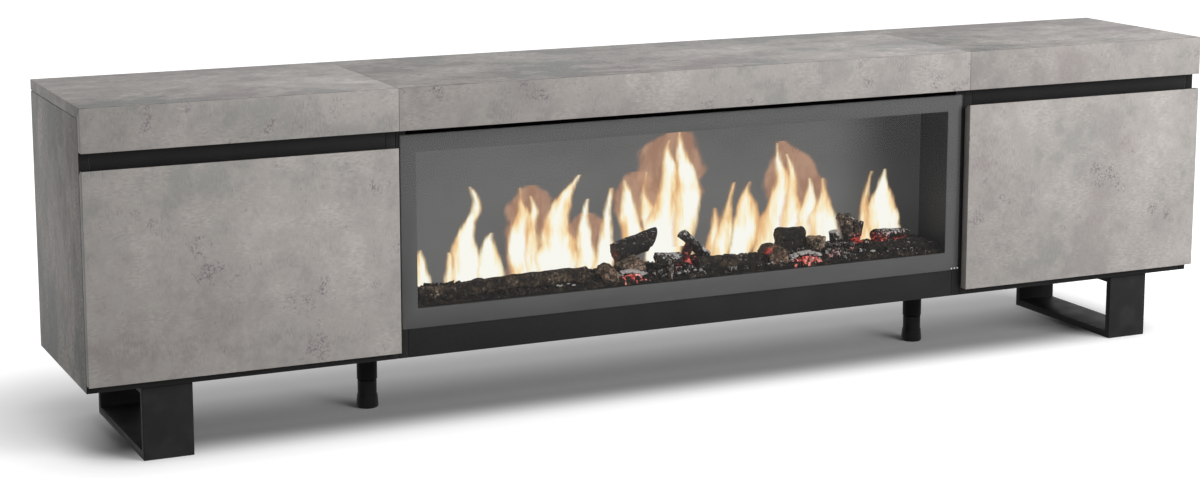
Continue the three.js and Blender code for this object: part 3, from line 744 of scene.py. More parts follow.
# Faces that get the dark edge paint: a door's top edge and finger bevel, and an outer side's front and bottom
# edges
def isDarkEdgeFace(node, normal):
    if "door" in node:
        return normal.z > 0.3 and normal.y > -0.5
    if "outer_side_panel" in node:
        return normal.y < -0.5 or normal.z < -0.5
    return False


def setVector(piece, name, value):
    for item in piece.data.attributes.new(name, "FLOAT_VECTOR", "POINT").data:
        item.vector = value


def makeBoards(paints):
    for node, shift in concreteBoards.items():
        board = cleanCopy(node)
        applyBevel(board, boardLook["jointEdge" if "fascia" in node or "top" in node else "edge"], 2)
        body = node if "door" in node else "carcass"
        settle(board, body, paints["concreteLaminate"])
        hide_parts(node)
        board.data.materials.append(paints["darkEdgePaint"])
        for face in board.data.polygons:
            if isDarkEdgeFace(node, face.normal):
                face.material_index = 1
        setVector(board, "boardShift", shift)
        kind = "top" if "top" in node else "side" if "side" in node else "front"
        setVector(board, "boardStretch", boardLook["stretch"][kind])
        paint(board, "boardContrastAndShade", lambda place, normal: boardLook["contrastAndShade"][kind])
    for node in blackBoards:
        dress(node, "carcass", paints["blackLaminate"], boardLook["edge"])
    print("boards dressed")


# Legs

footLook = {
    # radius and height, from the floor up
    "profile": ((0.0166, 0.0), (0.0177, 0.0012), (0.0180, 0.0045), (0.0171, 0.0140), (0.0163, 0.0214),
                (0.0154, 0.0226), (0.0154, 0.0448), (0.0148, 0.0452), (0.0050, 0.0454), (0.0050, 0.0908)),
    "sides": 40,
}


def turned(name, profile, sides, middle):
    radius, height = profile[0]
    bpy.ops.mesh.primitive_circle_add(
        vertices=sides, radius=radius, fill_type="NGON", location=(middle.x, middle.y, height))
    piece = bpy.context.object
    piece.name = name
    applyPlace(piece)
    editAll()
    for nextRadius, nextHeight in profile[1:]:
        extrudeBy(nextHeight - height)
        share = nextRadius / radius
        bpy.ops.transform.resize(value=(share, share, 1), center_override=(middle.x, middle.y, nextHeight))
        radius, height = nextRadius, nextHeight
    faceOutwards()
    shadeByAngle(40)
    return piece


def makeLegs(paints):
    for side in ("left", "right"):
        dress(side + "_sled_leg", "carcass", paints["powderCoatedSteel"], 0.0014, 3)
        dress(side + "_round_leg", "carcass", paints["legPowderCoat"], 0.0008, 2)
        node = side + "_levelling_foot"
        low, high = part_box(node)
        foot = turned(pieceName(node), footLook["profile"], footLook["sides"], (low + high) / 2)
        settle(foot, side + "_foot", paints["blackPlastic"])
        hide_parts(node)
    print("legs dressed")


# Hinges, screws and nails

screwLook = {
    "radius": 0.0033,
    "head": 0.0011,
    "socket": 0.0016,
    "socketDepth": 0.6,  # share of the head
    "sides": 16,
}

hingeLook = {
    "edge": 0.0003,
    "cupScrews": 0.0262,  # above and below the cup's middle
    "plateScrews": 0.018,  # above and below the arm's middle
    "plateBack": 0.021,  # from the arm's rear end
    "plateInset": 0.0025,
    "armBacks": (0.014, 0.03),  # of the two screws in the arm, from its rear end
}

nailLook = {
    "radius": 0.0022,
    "flatness": 0.42,
    "step": 0.095,
    "inset": 0.008,
}

backPanels = ("left_back_panel", "fire_back_panel", "right_back_panel")


def makeScrew():
    look = screwLook
    bpy.ops.mesh.primitive_cylinder_add(
        vertices=look["sides"], radius=look["radius"], depth=look["head"], location=(0, 0, look["head"] / 2))
    screw = bpy.context.object
    screw.name = "screw"
    editOnly(screw, "FACE", lambda face: face.normal.z > 0.9)
    bpy.ops.mesh.inset(thickness=look["radius"] - look["socket"])
    extrudeBy(-look["head"] * look["socketDepth"])
    endEdit()
    applyBevel(screw, 0.0003, 2, 40)
    applyPlace(screw)
    return screw


def faceOn(place, direction):
    turn = Vector(direction).to_track_quat("Z", "Y").to_matrix().to_4x4()
    return Matrix.Translation(place) @ turn


def screwsAt(screw, spots, name, body, paints):
    copies = [copyTo(screw, faceOn(place, direction)) for place, direction in spots]
    whole = joinPieces(copies, name)
    settle(whole, body, paints["nickelPlatedSteel"])


def makeHinges(paints):
    look = hingeLook
    nickel = paints["nickelPlatedSteel"]
    screw = makeScrew()
    for side in ("left", "right"):
        armSpots = []
        cupSpots = []
        inward = 1 if side == "left" else -1
        for level in ("upper", "lower"):
            cup = f"{side}_{level}_hinge_cup"
            arm = f"{side}_{level}_hinge_arm"
            dress(cup, side + "_door", nickel, look["edge"], 2)
            dress(arm, "carcass", nickel, look["edge"], 2)
            low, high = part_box(cup)
            middle = (low + high) / 2
            for lift in (-look["cupScrews"], look["cupScrews"]):
                cupSpots.append(((middle.x, high.y, middle.z + lift), (0, 1, 0)))
            low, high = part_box(arm)
            middle = (low + high) / 2
            wallX, armX = (low.x, high.x) if side == "left" else (high.x, low.x)
            plateX = wallX + inward * look["plateInset"]
            for lift in (-look["plateScrews"], look["plateScrews"]):
                armSpots.append(((plateX, high.y - look["plateBack"], middle.z + lift), (inward, 0, 0)))
            for back in look["armBacks"]:
                armSpots.append(((armX, high.y - back, middle.z), (inward, 0, 0)))
        screwsAt(screw, cupSpots, side + "CupScrews", side + "_door", paints)
        screwsAt(screw, armSpots, side + "PlateScrews", "carcass", paints)
    bpy.data.objects.remove(screw)
    print("hinges dressed")


def makeNails(paints):
    look = nailLook
    bpy.ops.mesh.primitive_uv_sphere_add(segments=10, ring_count=6, radius=look["radius"])
    nail = bpy.context.object
    nail.name = "nail"
    nail.scale = (1, look["flatness"], 1)
    applyPlace(nail)
    copies = []
    for node in backPanels:
        low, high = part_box(node)
        steps = round((high.x - low.x) / look["step"])
        for index in range(steps + 1):
            x = low.x + look["inset"] + (high.x - low.x - 2 * look["inset"]) * index / steps
            for z in (low.z + look["inset"], high.z - look["inset"]):
                copies.append(copyTo(nail, Matrix.Translation((x, high.y, z))))
    bpy.data.objects.remove(nail)
    whole = joinPieces(copies, "backPanelNails")
    bpy.ops.object.shade_smooth()
    settle(whole, "carcass", paints["nickelPlatedSteel"])
    print("nails driven")


# The fire's case

casePieces = (  # nodes, slot, paint, bevel width and segments
    (("front_glass",), "clear_glass", "clearGlass", 0.0005, 2),
    (("insert_frame",), "frame_enamel", "frameEnamel", 0.0003, 2),
    (("insert_back_plate", "insert_floor_plate", "insert_top_plate", "insert_left_end_plate",
      "insert_right_end_plate", "ember_tray"), "case_steel", "blackenedCaseSteel", 0.0002, 1),
    (("drum_motor", "control_box", "power_inlet"), "black_plastic", "blackPlastic", 0.0004, 2),
    (("lamp_bar",), "lamp_plastic", "lampPlastic", 0.0005, 2),
    (backPanels, "back_fibreboard", "backFibreboard", 0.0003, 1),
)

dotLook = {
    "places": (0.4935, 0.4995, 0.5055),
    "height": 0.1638,
    "radius": 0.0014,
    "thickness": 0.0003,
    "sides": 18,
    "edge": 0.00008,
}


def repaint(node, material):
    for slot in nodes[node].material_slots:
        slot.material = material


def makeInsert(paints):
    for names, slot, name, bevel, segments in casePieces:
        for node in names:
            dress(node, "carcass", paints[name], bevel, segments)
    repaint("flame_screen", paints["milkyScreen"])
    repaint("flame_drum", paints["polishedMetal"])
    look = dotLook
    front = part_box("front_glass")[0].y
    dots = []
    for x in look["places"]:
        bpy.ops.mesh.primitive_cylinder_add(
            vertices=look["sides"], radius=look["radius"], depth=look["thickness"],
            location=(x, front - look["thickness"] / 2, look["height"]), rotation=(math.radians(90), 0, 0))
        applyBevel(bpy.context.object, look["edge"], 1, 40)
        dots.append(bpy.context.object)
    settle(joinPieces(dots, "indicatorDots"), "carcass", paints["indicatorDot"])
    print("fire case dressed")


# Logs and stumps

logLook = {
    "sides": 26,
    "cutsPerMetre": 130,
    "endRings": (0.12, 0.25, 0.25, 0.2),  # widths on a cut end, as shares of the radius
    "bark": (190, 190, 38),  # folds per metre across, across and along
    "barkFolds": (0.8, 2.1, 4),  # smoothness, fineness from one layer to the next, layers
    "barkDepth": 0.0020,
    "lobe": (55, 55, 14),
    "bend": 17,
    "bendDepth": 0.0035,
    "endChips": 140,
    "endDepth": 0.0016,
    "endZone": 0.49,  # where the ends are chipped, as a share of the length from the middle
    "seedStep": (3.7, 1.9, 5.3),  # from one log's pattern to the next
    "brokenEnds": {"fire_log_2": 0.8, "fire_log_5": 0.5, "hookedChar": 0.6},  # slope of a slanted end
}

# middle (x, y, z), length, radius, spin and tip in degrees, tone, ash, glow
logPieces = {
    "fire_log_1": ((-0.325, -0.1175, 0.206), 0.290, 0.0125, 0, -1.4, 0.55, 0.0, 0.0),
    "fire_log_2": ((-0.072, -0.079, 0.240), 0.082, 0.016, 0, -14, 0.0, 0.12, 0.0),
    "fire_log_3": ((0.028, -0.0925, 0.236), 0.062, 0.009, 0, 40, 0.15, 0.38, 0.0),
    "fire_log_4": ((0.074, -0.1215, 0.2055), 0.112, 0.0125, 0, 0, 0.35, 0.0, 0.0),
    "fire_log_5": ((0.412, -0.0875, 0.218), 0.072, 0.010, 2, 0, 0.2, 0.25, 0.1),
    "ringEndLeft": ((-0.140, -0.112, 0.206), 0.045, 0.014, 80, 0, 0.85, 0.0, 0.0),
    "cutChunk": ((-0.089, -0.0925, 0.208), 0.060, 0.020, 78, 0, 1.0, 0.1, 0.0),
    "charStem": ((-0.036, -0.1305, 0.2065), 0.038, 0.0066, 0, 87, 0.5, 0.50, 0.0),
    "charCap": ((-0.037, -0.1265, 0.2270), 0.044, 0.0092, 0, 1, 0.4, 0.40, 0.0),
    "hookedChar": ((0.006, -0.103, 0.222), 0.040, 0.0075, 0, -62, 0.0, 0.05, 0.25),
    "ringEndRight": ((0.172, -0.106, 0.207), 0.055, 0.017, 84, 0, 0.75, 0.0, 0.0),
    "darkBlock": ((0.220, -0.074, 0.230), 0.048, 0.0135, 4, 0, 0.0, 0.0, 0.0),
    "darkBlockFoot": ((0.222, -0.076, 0.210), 0.050, 0.016, -5, 0, 0.1, 0.0, 0.0),
    "cutStump": ((0.256, -0.098, 0.209), 0.040, 0.0160, 0, 88, 1.25, 0.0, 0.0),
    "redUpright": ((0.329, -0.0835, 0.231), 0.056, 0.0115, 0, 72, 0.7, 0.1, 0.12),
    "redUprightSide": ((0.340, -0.088, 0.224), 0.050, 0.0085, 8, 108, 0.5, 0.22, 0.15),
    "redUprightTop": ((0.326, -0.080, 0.251), 0.034, 0.0075, 10, 24, 0.6, 0.3, 0.05),
    "greyChunk": ((0.297, -0.090, 0.225), 0.018, 0.0095, 0, 80, 0.3, 0.75, 0.0),
    "darkLog": ((0.400, -0.1195, 0.202), 0.112, 0.0125, 0, 1, 0.1, 0.0, 0.0),
}


def isLong(log, edge, length):
    first, second = (log.data.vertices[index].co for index in edge.vertices)
    return abs((first - second).z) > length / 2


def makeLog(name, middle, length, radius, spin, tip, seed):
    bpy.ops.mesh.primitive_cylinder_add(vertices=logLook["sides"], radius=radius, depth=length)
    log = bpy.context.object
    log.name = pieceName(name)
    editOnly(log, "EDGE", lambda edge: isLong(log, edge, length))
    bpy.ops.mesh.subdivide(number_cuts=max(4, round(length * logLook["cutsPerMetre"])))
    editOnly(log, "FACE", lambda face: abs(face.normal.z) > 0.9)
    for share in logLook["endRings"]:
        bpy.ops.mesh.inset(thickness=radius * share, use_individual=True)
    bpy.ops.mesh.poke()
    endEdit()

    def ringAt(place, normal):
        fromHeart = math.hypot(place.x, place.y)
        onEnd = abs(place.z) > length * 0.499 and fromHeart < radius * 0.99
        return fromHeart + 0.001 if onEnd else 0.0

    paint(log, "ring", ringAt)
    slope = logLook["brokenEnds"].get(name, 0.0)
    for vertex in log.data.vertices:
        along = max(0.0, vertex.co.z / length * 2)
        vertex.co.z -= slope * (vertex.co.x + radius) * along
    roughen(log, length, radius, seed)
    turn = Matrix.Rotation(math.radians(spin), 4, "Z") @ Matrix.Rotation(math.radians(tip), 4, "Y")
    lay = Matrix.Rotation(math.radians(90), 4, "Y")
    log.data.transform(Matrix.Translation(middle) @ turn @ lay)
    pickOnly(log)
    shadeByAngle(50)
    return log


def stretched(place, perMetre):
    return Vector([value * share for value, share in zip(place, perMetre)])


def roughen(log, length, radius, seed):
    look = logLook
    start = stretched((seed,) * 3, look["seedStep"])
    for vertex in log.data.vertices:
        place = vertex.co.copy()
        around = Vector((place.x, place.y, 0))
        reachOut = around.length / radius
        if reachOut > 0.01:
            around.normalize()
        bark = noise.fractal(stretched(place, look["bark"]) + start, *look["barkFolds"])
        bend = noise.noise(Vector((0, 0, place.z * look["bend"])) + start)
        lobe = noise.noise(stretched(place, look["lobe"]) + start)
        push = bark * look["barkDepth"] + lobe * look["bendDepth"]
        vertex.co += around * push * min(1.0, reachOut)
        vertex.co.x += bend * look["bendDepth"]
        if abs(place.z) > length * look["endZone"]:
            vertex.co.z += noise.noise(place * look["endChips"] + start) * look["endDepth"]


# Ember glow and ash, as spots: x, y, z, size, strength

glowSpots = [
    (0.008, -0.103, 0.206, 0.013, 1.1), (0.016, -0.100, 0.214, 0.008, 0.8),
    (-0.105, -0.082, 0.232, 0.010, 0.7), (0.160, -0.112, 0.217, 0.011, 1.0),
    (0.340, -0.098, 0.207, 0.012, 1.2), (0.352, -0.090, 0.216, 0.010, 0.8),
    (0.385, -0.095, 0.212, 0.016, 0.6), (-0.185, -0.116, 0.214, 0.010, 0.7),
    (0.425, -0.094, 0.208, 0.014, 0.6),
]

ashSpots = [
    (0.020, -0.128, 0.196, 0.012, 0.6), (-0.050, -0.126, 0.197, 0.011, 0.35),
    (0.050, -0.105, 0.226, 0.010, 0.6), (0.300, -0.128, 0.198, 0.012, 0.7),
    (0.412, -0.098, 0.224, 0.020, 0.55), (0.330, -0.100, 0.256, 0.012, 0.4),
    (0.096, -0.133, 0.207, 0.011, 0.5), (0.430, -0.131, 0.205, 0.012, 0.5),
]


def hotSpot(place, spots):
    heat = 0.0
    for x, y, z, size, strength in spots:
        away = (place - Vector((x, y, z))).length / size
        heat += strength * math.exp(-away * away)
    return heat


burnLook = {
    "patches": 40,  # patches of tone per metre
    "patchDepth": 0.3,
    "ashReach": 0.35,  # how far down the sides the ash lies
    "ashCover": 1.3,
    "sideSpot": 0.2,  # share of a spot of ash that is left on a side
}


def paintBurn(piece, tone, ash, glow):
    look = burnLook

    def toneAt(place, normal):
        return tone + look["patchDepth"] * noise.noise(place * look["patches"])

    def ashAt(place, normal):
        cover = ash * max(0.0, normal.z + look["ashReach"]) * look["ashCover"]
        return cover + hotSpot(place, ashSpots) * max(look["sideSpot"], normal.z)

    paint(piece, "tone", toneAt)
    paint(piece, "ash", ashAt)
    paint(piece, "glow", lambda place, normal: glow + hotSpot(place, glowSpots))


# The bed and its loose coals

bedLook = {
    "slab": 0.0115,
    "frontShare": 0.45,  # height of the bed's front edge, as a share of the slab
    "columns": 330,
    "rows": 30,
    "frontSlope": 4,  # the slab is full at a quarter of the bed's depth
    "coal": 85.0,  # coals per metre
    "coalHeight": 0.007,
    "coalSlope": 1.6,
    "coalSink": 0.4,  # share of its height that a coal is sunk
    "ripple": 0.0022,
    "ripples": 26,  # per metre
    "heapWave": (0.9, 0.08),  # part of a half wave that lies over the bed's depth, and its start
    "heaps": ((-0.323, 0.166, 0.004), (-0.088, 0.049, 0.005), (0.029, 0.034, 0.012),
              (0.176, 0.059, 0.005), (0.264, 0.049, 0.007), (0.328, 0.039, 0.012), (0.411, 0.059, 0.008)),
}

coalLook = {
    "seed": 11,
    "kinds": 5,
    "squareness": 0.45,  # 0 for a ball, 1 for a cube
    "dents": 0.34,
    "dentScale": 1.7,
    "turns": (0, 6.28),  # radians
    "tip": 0.2,
    "endMargin": 0.01,
    "sideMargin": 0.006,
    "chunkCount": 460,
    "chunkSizes": (0.0030, 0.0070),
    "chunkStretches": ((0.8, 1.7), (0.7, 1.1), (0.6, 0.9)),  # along X, Y and Z
    "chunkTips": (-0.4, 0.4),
    "chunkLift": 0.2,  # share of its size
    "chunkTones": (-0.15, 0.55),
    "chunkAsh": (-0.6, 0.35),
    "clearDepth": 0.016,  # from the bed's front edge
    "clearings": ((-0.104, 0.026), (0.222, 0.032), (-0.036, 0.010)),  # middle x, half width
    "cubeSpots": ((0.286, 9, 0.022), (-0.056, 2, 0.010), (-0.008, 2, 0.010)),  # middle x, count, spread
    "cubeDepths": (-0.132, -0.112),
    "cubeSizes": (0.0048, 0.0068),
    "cubeLift": 0.6,
    "cubeTone": 0.3,
    "cubeAsh": (0.1, 0.48),
    "cubeGlows": (0, 0, 0.35),
    "chipCount": 46,
    "chipSizes": (0.0011, 0.0023),
    "chipStart": 0.25,  # the first chip, from the bed's left end
    "chipStop": 0.06,  # the last one, from its right end
    "chipDepths": (0.002, 0.012),  # from the bed's front edge
    "chipLift": 0.003,
    "chipLengths": (1.2, 2.8),
    "chipTips": (-0.8, 0.8),
    "chipBurn": (1.2, 1.2, 0),  # tone, ash, glow
}

pileLook = {
    "piles": ((-0.104, 0.027, 0.0115), (0.222, 0.034, 0.0125)),  # middle x, half width, height of the crest
    "front": -0.1355,
    "floor": 0.1935,
    "rowStep": (0.0034, 0.0042),  # back and up, from one row of embers to the next
    "emberRows": 3,
    "embersPerRow": 9,
    "emberSpan": 0.82,  # share of the half width
    "emberCrown": 0.75,  # share of its rise that a row loses at its ends
    "emberStray": (0.0012, 0.001, 0.0005),  # along X, Y and Z
    "emberSize": (0.0026, 0.0040),
    "emberAsh": (-1, -1, -1, 0.45),
    "emberGlow": (0.9, 1.1, 1.4),
    "crestCount": 44,
    "crestSize": (0.0018, 0.0034),
    "crestLengths": (1.4, 2.6),
    "crestBurn": (1.3, 1.3, 0),  # tone, ash, glow
    "crestLift": 0.004,
    "crestCurve": 0.7,
    "crestStray": (-0.001, 0.0016),
    "crestBack": (0.0085, 0.007),  # nearest, and how much farther at most
    "fillCount": 70,  # dark chunks behind the embers
    "fillSize": (0.0030, 0.0048),
    "fillBurn": (0.2, 0.1, 0),
    "fillSpan": (-0.95, 0.95),
    "fillHeights": (0.1, 0.85),  # shares of the rise
    "fillBack": (0.0125, 0.012),
}

bedLow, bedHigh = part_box("ember_bed")


def bedHeight(x, y):
    share = (y - bedLow.y) / (bedHigh.y - bedLow.y)
    front = bedLook["frontShare"]
    lift = bedLook["slab"] * (front + (1 - front) * min(1.0, share * bedLook["frontSlope"]))
    part, start = bedLook["heapWave"]
    for middle, spread, rise in bedLook["heaps"]:
        away = (x - middle) / spread
        lift += rise * math.exp(-away * away) * math.sin(math.pi * min(1.0, share * part + start))
    ripples = bedLook["ripples"]
    lift += bedLook["ripple"] * noise.noise(Vector((x * ripples, y * ripples, 2.5)))
    return bedLow.z + lift


def makeBed(paints):
    low, high = bedLow, bedHigh
    bpy.ops.mesh.primitive_grid_add(x_subdivisions=bedLook["columns"], y_subdivisions=bedLook["rows"], size=1)
    bed = bpy.context.object
    bed.name = "emberBed"
    for vertex in bed.data.vertices:
        x = (low.x + high.x) / 2 + vertex.co.x * (high.x - low.x)
        y = (low.y + high.y) / 2 + vertex.co.y * (high.y - low.y)
        near = noise.voronoi(Vector((x, y, 0.3)) * bedLook["coal"])[0]
        lump = min(1.0, (near[1] - near[0]) * bedLook["coalSlope"])
        vertex.co = (x, y, bedHeight(x, y) + bedLook["coalHeight"] * (lump - bedLook["coalSink"]))
    editAll()
    extrudeBy(-0.001)
    faceOutwards()
    floorCount = len(bed.data.vertices) // 2
    lows = sorted(range(len(bed.data.vertices)), key=lambda index: bed.data.vertices[index].normal.z)
    for index in lows[:floorCount]:
        bed.data.vertices[index].co.z = low.z
    pickOnly(bed)
    shadeByAngle(50)
    paintBurn(bed, 0.12, 0.0, 0.0)
    settle(bed, "carcass", paints["charredWood"])
    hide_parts("ember_bed")
    return bed


def chunkShapes():
    look = coalLook
    shapes = []
    for index in range(look["kinds"]):
        bpy.ops.mesh.primitive_cube_add(size=2)
        shape = bpy.context.object
        shape.name = "chunk"
        editAll()
        bpy.ops.mesh.subdivide(number_cuts=1)
        endEdit()
        for vertex in shape.data.vertices:
            out = vertex.co.length
            vertex.co *= (1 + (out - 1) * look["squareness"]) / out
            dent = noise.noise(vertex.co * look["dentScale"] + Vector((index * 5, 0, 0)))
            vertex.co *= 1 + look["dents"] * dent
        shapes.append(shape)
    return shapes


def chunkAt(shapes, count, place, size, stretch, spin, burn):
    turn = Matrix.Rotation(spin[0], 4, "Z") @ Matrix.Rotation(spin[1], 4, "X")
    form = Matrix.Translation(place) @ turn @ Matrix.Diagonal((*stretch, 1)) @ Matrix.Scale(size, 4)
    chunk = copyTo(shapes[count % len(shapes)], form)
    for name, value in zip(("tone", "ash", "glow"), burn):
        paint(chunk, name, lambda place, normal: value)
    return chunk


def looseCoals(shapes, draw):
    look = coalLook
    coals = []
    for count in range(look["chunkCount"]):
        size = draw.uniform(*look["chunkSizes"])
        x = draw.uniform(bedLow.x + look["endMargin"], bedHigh.x - look["endMargin"])
        y = draw.uniform(bedLow.y + look["sideMargin"], bedHigh.y - look["sideMargin"])
        stretch = [draw.uniform(*span) for span in look["chunkStretches"]]
        spin = (draw.uniform(*look["turns"]), draw.uniform(*look["chunkTips"]))
        place = Vector((x, y, bedHeight(x, y) + size * look["chunkLift"]))
        ash = max(draw.uniform(*look["chunkAsh"]), hotSpot(place, ashSpots))
        burn = (draw.uniform(*look["chunkTones"]), ash, hotSpot(place, glowSpots))
        atFront = y < bedLow.y + look["clearDepth"]
        if atFront and any(abs(x - middle) < half for middle, half in look["clearings"]):
            continue
        coals.append(chunkAt(shapes, count, place, size, stretch, spin, burn))
    for middle, number, spread in look["cubeSpots"]:
        for count in range(number):
            x = middle + draw.uniform(-spread, spread)
            y = draw.uniform(*look["cubeDepths"])
            size = draw.uniform(*look["cubeSizes"])
            place = Vector((x, y, bedHeight(x, y) + size * look["cubeLift"]))
            burn = (look["cubeTone"], draw.uniform(*look["cubeAsh"]), draw.choice(look["cubeGlows"]))
            spin = (draw.uniform(*look["turns"]), look["tip"])
            coals.append(chunkAt(shapes, count, place, size, (1, 1, 1), spin, burn))
    return coals


def whiteChips(shapes, draw):
    look = coalLook
    nearest, farthest = look["chipDepths"]
    chips = []
    for count in range(look["chipCount"]):
        x = draw.uniform(bedLow.x + look["chipStart"], bedHigh.x - look["chipStop"])
        y = draw.uniform(bedLow.y + nearest, bedLow.y + farthest)
        stretch = (draw.uniform(*look["chipLengths"]), 0.9, 0.6)
        spin = (draw.uniform(*look["turns"]), draw.uniform(*look["chipTips"]))
        place = Vector((x, y, bedHeight(x, y) + look["chipLift"]))
        size = draw.uniform(*look["chipSizes"])
        chips.append(chunkAt(shapes, count, place, size, stretch, spin, look["chipBurn"]))
    return chips


def emberPile(shapes, draw, middle, half, rise):
    look = pileLook
    back, up = look["rowStep"]
    strayX, strayY, strayZ = look["emberStray"]
    turns, tip = coalLook["turns"], coalLook["tip"]
    bits = []
    for row in range(look["emberRows"]):
        for count in range(look["embersPerRow"]):
            along = (count + 0.5) / look["embersPerRow"] * 2 - 1
            crown = 1 - look["emberCrown"] * along * along
            x = middle + along * half * look["emberSpan"] + draw.uniform(-strayX, strayX)
            z = look["floor"] + up * row * crown + draw.uniform(-strayZ, strayZ)
            y = look["front"] + back * row + draw.uniform(-strayY, strayY)
            size = draw.uniform(*look["emberSize"])
            burn = (0.0, draw.choice(look["emberAsh"]), draw.choice(look["emberGlow"]))
            spin = (draw.uniform(*turns), tip)
            bits.append(chunkAt(shapes, count, (x, y, z), size, (1, 1, 0.85), spin, burn))
    nearest, deeper = look["crestBack"]
    for count in range(look["crestCount"]):
        along = draw.uniform(-1, 1)
        lift = look["crestLift"] + rise * (1 - along * along) ** look["crestCurve"]
        z = look["floor"] + lift + draw.uniform(*look["crestStray"])
        place = (middle + along * half, look["front"] + nearest + draw.uniform(0, deeper), z)
        size = draw.uniform(*look["crestSize"])
        stretch = (draw.uniform(*look["crestLengths"]), 1.1, 0.6)
        spin = (-along * 0.15, 0.1)
        bits.append(chunkAt(shapes, count, place, size, stretch, spin, look["crestBurn"]))
    nearest, deeper = look["fillBack"]
    for count in range(look["fillCount"]):
        along = draw.uniform(*look["fillSpan"])
        z = look["floor"] + rise * (1 - along * along) * draw.uniform(*look["fillHeights"])
        place = (middle + along * half, look["front"] + nearest + draw.uniform(0, deeper), z)
        size = draw.uniform(*look["fillSize"])
        spin = (draw.uniform(*turns), tip)
        bits.append(chunkAt(shapes, count, place, size, (1.3, 1, 0.8), spin, look["fillBurn"]))
    return bits


def scatterChunks(paints):
    draw = random.Random(coalLook["seed"])
    shapes = chunkShapes()
    pieces = looseCoals(shapes, draw) + whiteChips(shapes, draw)
    for middle, half, rise in pileLook["piles"]:
        pieces += emberPile(shapes, draw, middle, half, rise)
    for shape in shapes:
        bpy.data.objects.remove(shape)
    chunks = joinPieces(pieces, "emberCoals")
    shadeByAngle(38)
    settle(chunks, "carcass", paints["charredWood"])


def makeFire(paints):
    makeBed(paints)
    scatterChunks(paints)
    for seed, (name, values) in enumerate(logPieces.items()):
        middle, length, radius, spin, tip, tone, ash, glow = values
        log = makeLog(name, middle, length, radius, spin, tip, seed + 1)
        paintBurn(log, tone, ash, glow)
        settle(log, "carcass", paints["charredWood"])
        if name in nodes:
            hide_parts(name)
    print("logs and embers laid")


# Flames: x, height and half width in millimetres from the tip down, as they play on the screen

flameSpines = {
    "farLeftFlame": ((-440, 260, 1), (-441, 248, 5), (-439, 222, 12), (-438, 192, 16)),
    "leftTallFlame": ((-354, 356, 1), (-343, 334, 5), (-344, 314, 8), (-358, 294, 10), (-364, 268, 16),
                      (-363, 235, 23), (-364, 192, 27)),
    "leftLowFlame": ((-392, 252, 1), (-389, 240, 5), (-390, 192, 9)),
    "leftSecondFlame": ((-319, 278, 1), (-324, 262, 8), (-321, 232, 19), (-317, 192, 20)),
    "midLeftFlame": ((-268, 348, 1), (-266, 324, 4), (-262, 305, 10), (-268, 262, 21), (-263, 192, 17)),
    "midLeftLick": ((-250, 333, 1), (-243, 308, 6), (-249, 282, 9), (-241, 192, 12)),
    "midTallFlame": ((-163, 361, 1), (-178, 342, 6), (-196, 314, 15), (-204, 270, 24), (-200, 225, 36),
                     (-197, 192, 38)),
    "midShortFlame": ((-148, 320, 1), (-155, 284, 8), (-153, 252, 12), (-149, 192, 19)),
    "midRightFlame": ((-105, 335, 1), (-112, 295, 6), (-115, 250, 11), (-121, 192, 19)),
    "centreLeftFlame": ((-81, 346, 1), (-76, 318, 8), (-75, 286, 16), (-66, 255, 19), (-60, 228, 15)),
    "centreLeftLick": ((-42, 357, 1), (-46, 320, 4), (-38, 291, 13), (-30, 260, 18), (-29, 228, 16)),
    "centreTallFlame": ((0, 407, 1), (-4, 388, 5), (3, 350, 14), (-3, 300, 22), (-8, 262, 34), (-8, 192, 26)),
    "centreRightFlame": ((20, 421, 1), (21, 388, 7), (32, 345, 17), (33, 300, 21), (25, 226, 15)),
    "centreLowFlame": ((40, 232, 1), (41, 220, 6), (40, 194, 8)),
    "rightLowFlame": ((86, 286, 1), (86, 258, 7), (83, 222, 12), (77, 192, 11)),
    "rightLowLick": ((123, 327, 1), (112, 294, 5), (107, 252, 12), (93, 192, 17)),
    "rightInnerFlame": ((151, 326, 1), (144, 306, 8), (147, 274, 21), (148, 240, 25), (128, 192, 15)),
    "rightTallFlame": ((204, 388, 1), (205, 362, 4), (216, 320, 15), (209, 255, 37), (188, 192, 25)),
    "rightTallLick": ((222, 368, 1), (233, 336, 5), (232, 296, 10), (240, 250, 23), (240, 212, 22)),
    "rightMidFlame": ((267, 323, 1), (269, 300, 6), (266, 256, 20), (265, 200, 20)),
    "rightShortFlame": ((293, 321, 1), (295, 292, 7), (294, 250, 25), (298, 192, 30)),
    "farRightFlame": ((390, 326, 1), (380, 290, 5), (377, 250, 9), (386, 192, 15)),
    "farRightWide": ((416, 328, 1), (413, 300, 9), (413, 262, 26), (424, 192, 29)),
}

hazeSpines = {
    "midLeftHaze": ((-247, 350, 6), (-247, 320, 34), (-252, 280, 36), (-254, 205, 28)),
    "midHaze": ((-151, 296, 10), (-150, 268, 36), (-145, 230, 40), (-144, 195, 32)),
    "centreHaze": ((22, 426, 8), (4, 392, 49), (4, 350, 55), (10, 302, 44), (22, 225, 18)),
    "centreLeftHaze": ((-60, 358, 10), (-57, 330, 36), (-56, 295, 35), (-51, 240, 15)),
    "rightHaze": ((214, 390, 7), (234, 350, 38), (242, 300, 48), (237, 215, 26)),
}

flameLook = {
    "columns": 8,
    "rowsPerSpan": 9,
    "gap": 0.0003,  # from the screen to the first flame, and from flame to flame
    "body": 1.10,  # how far the flame is filled out
    "softEdge": 0.0050,
    "hazeEdge": 0.009,
    "wobble": 0.22,  # how far each side waves, as a share of the half width
    "waves": 48.0,  # waves per metre of height
    "thinnest": 0.0003,
}


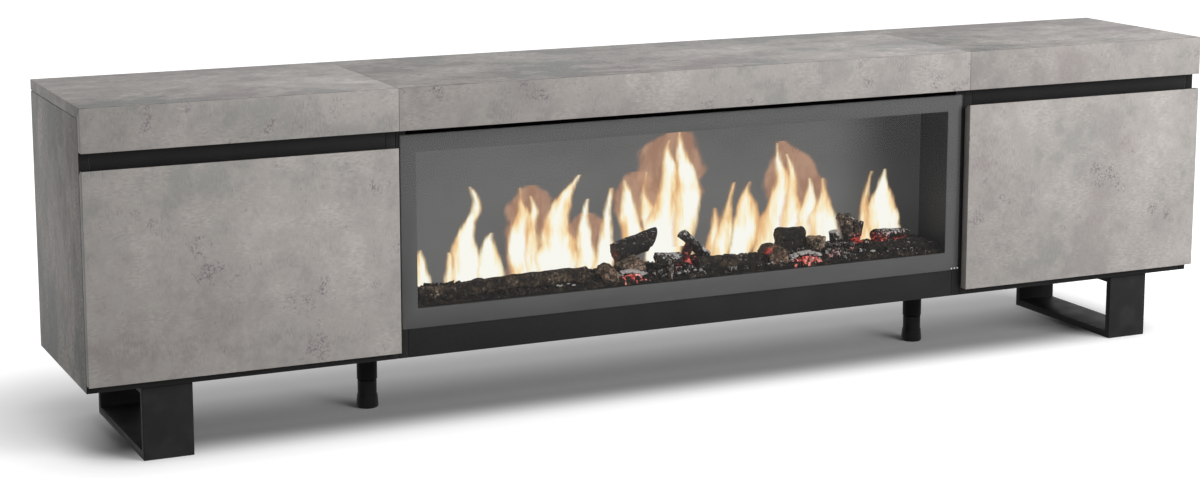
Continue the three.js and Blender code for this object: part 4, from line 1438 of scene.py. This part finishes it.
def alongSpine(points, t):
    span = min(len(points) - 2, int(t * (len(points) - 1)))
    u = t * (len(points) - 1) - span
    before = points[max(0, span - 1)]
    start = points[span]
    end = points[span + 1]
    after = points[min(len(points) - 1, span + 2)]
    result = []
    for p0, p1, p2, p3 in zip(before, start, end, after):
        curve = 2 * p1 + (p2 - p0) * u + (2 * p0 - 5 * p1 + 4 * p2 - p3) * u * u
        curve += (3 * p1 - p0 - 3 * p2 + p3) * u ** 3
        result.append(curve / 2000)
    return result


def makeFlame(name, points, layer, edge, material):
    look = flameLook
    rows = look["rowsPerSpan"] * (len(points) - 1)
    bpy.ops.mesh.primitive_grid_add(x_subdivisions=look["columns"], y_subdivisions=rows, size=1)
    flame = bpy.context.object
    flame.name = name
    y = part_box("flame_screen")[0].y - look["gap"] * (layer + 1)
    depths = []
    for vertex in flame.data.vertices:
        side = vertex.co.x * 2
        x, z, half = alongSpine(points, 0.5 - vertex.co.y)
        wave = noise.noise(Vector((math.copysign(7.3, side) + layer, z * look["waves"], 0.5)))
        half = max(half, look["thinnest"]) * look["body"] * (1 + look["wobble"] * wave) + edge
        depths.append((1 - abs(side)) * half)
        vertex.co = (x + side * half, y, z)
    if flame.data.polygons[0].normal.y > 0:
        flame.data.flip_normals()
    values = flame.data.attributes.new("flameDepth", "FLOAT", "POINT").data
    values.foreach_set("value", depths)
    flame.visible_shadow = False
    settle(flame, "carcass", material)


def makeFlames(paints):
    sheets = [(name, points, "hazeEdge", "flameHaze") for name, points in hazeSpines.items()]
    sheets += [(name, points, "softEdge", "flameLight") for name, points in flameSpines.items()]
    for layer, (name, points, edge, paintName) in enumerate(sheets):
        makeFlame(name, points, layer, flameLook[edge], paints[paintName])
    print("flames lit")


addCamera()
addStudio()
paints = {name: plainPaint(name) for name in plainPaints}
for mixPaint in (concreteLaminate, clearGlass, milkyScreen, charredWood, flameLight, hazeLight):
    mixed = mixPaint()
    paints[mixed.name] = mixed
print("materials mixed")
makeBoards(paints)
makeLegs(paints)
makeHinges(paints)
makeNails(paints)
makeInsert(paints)
makeFire(paints)
makeFlames(paints)
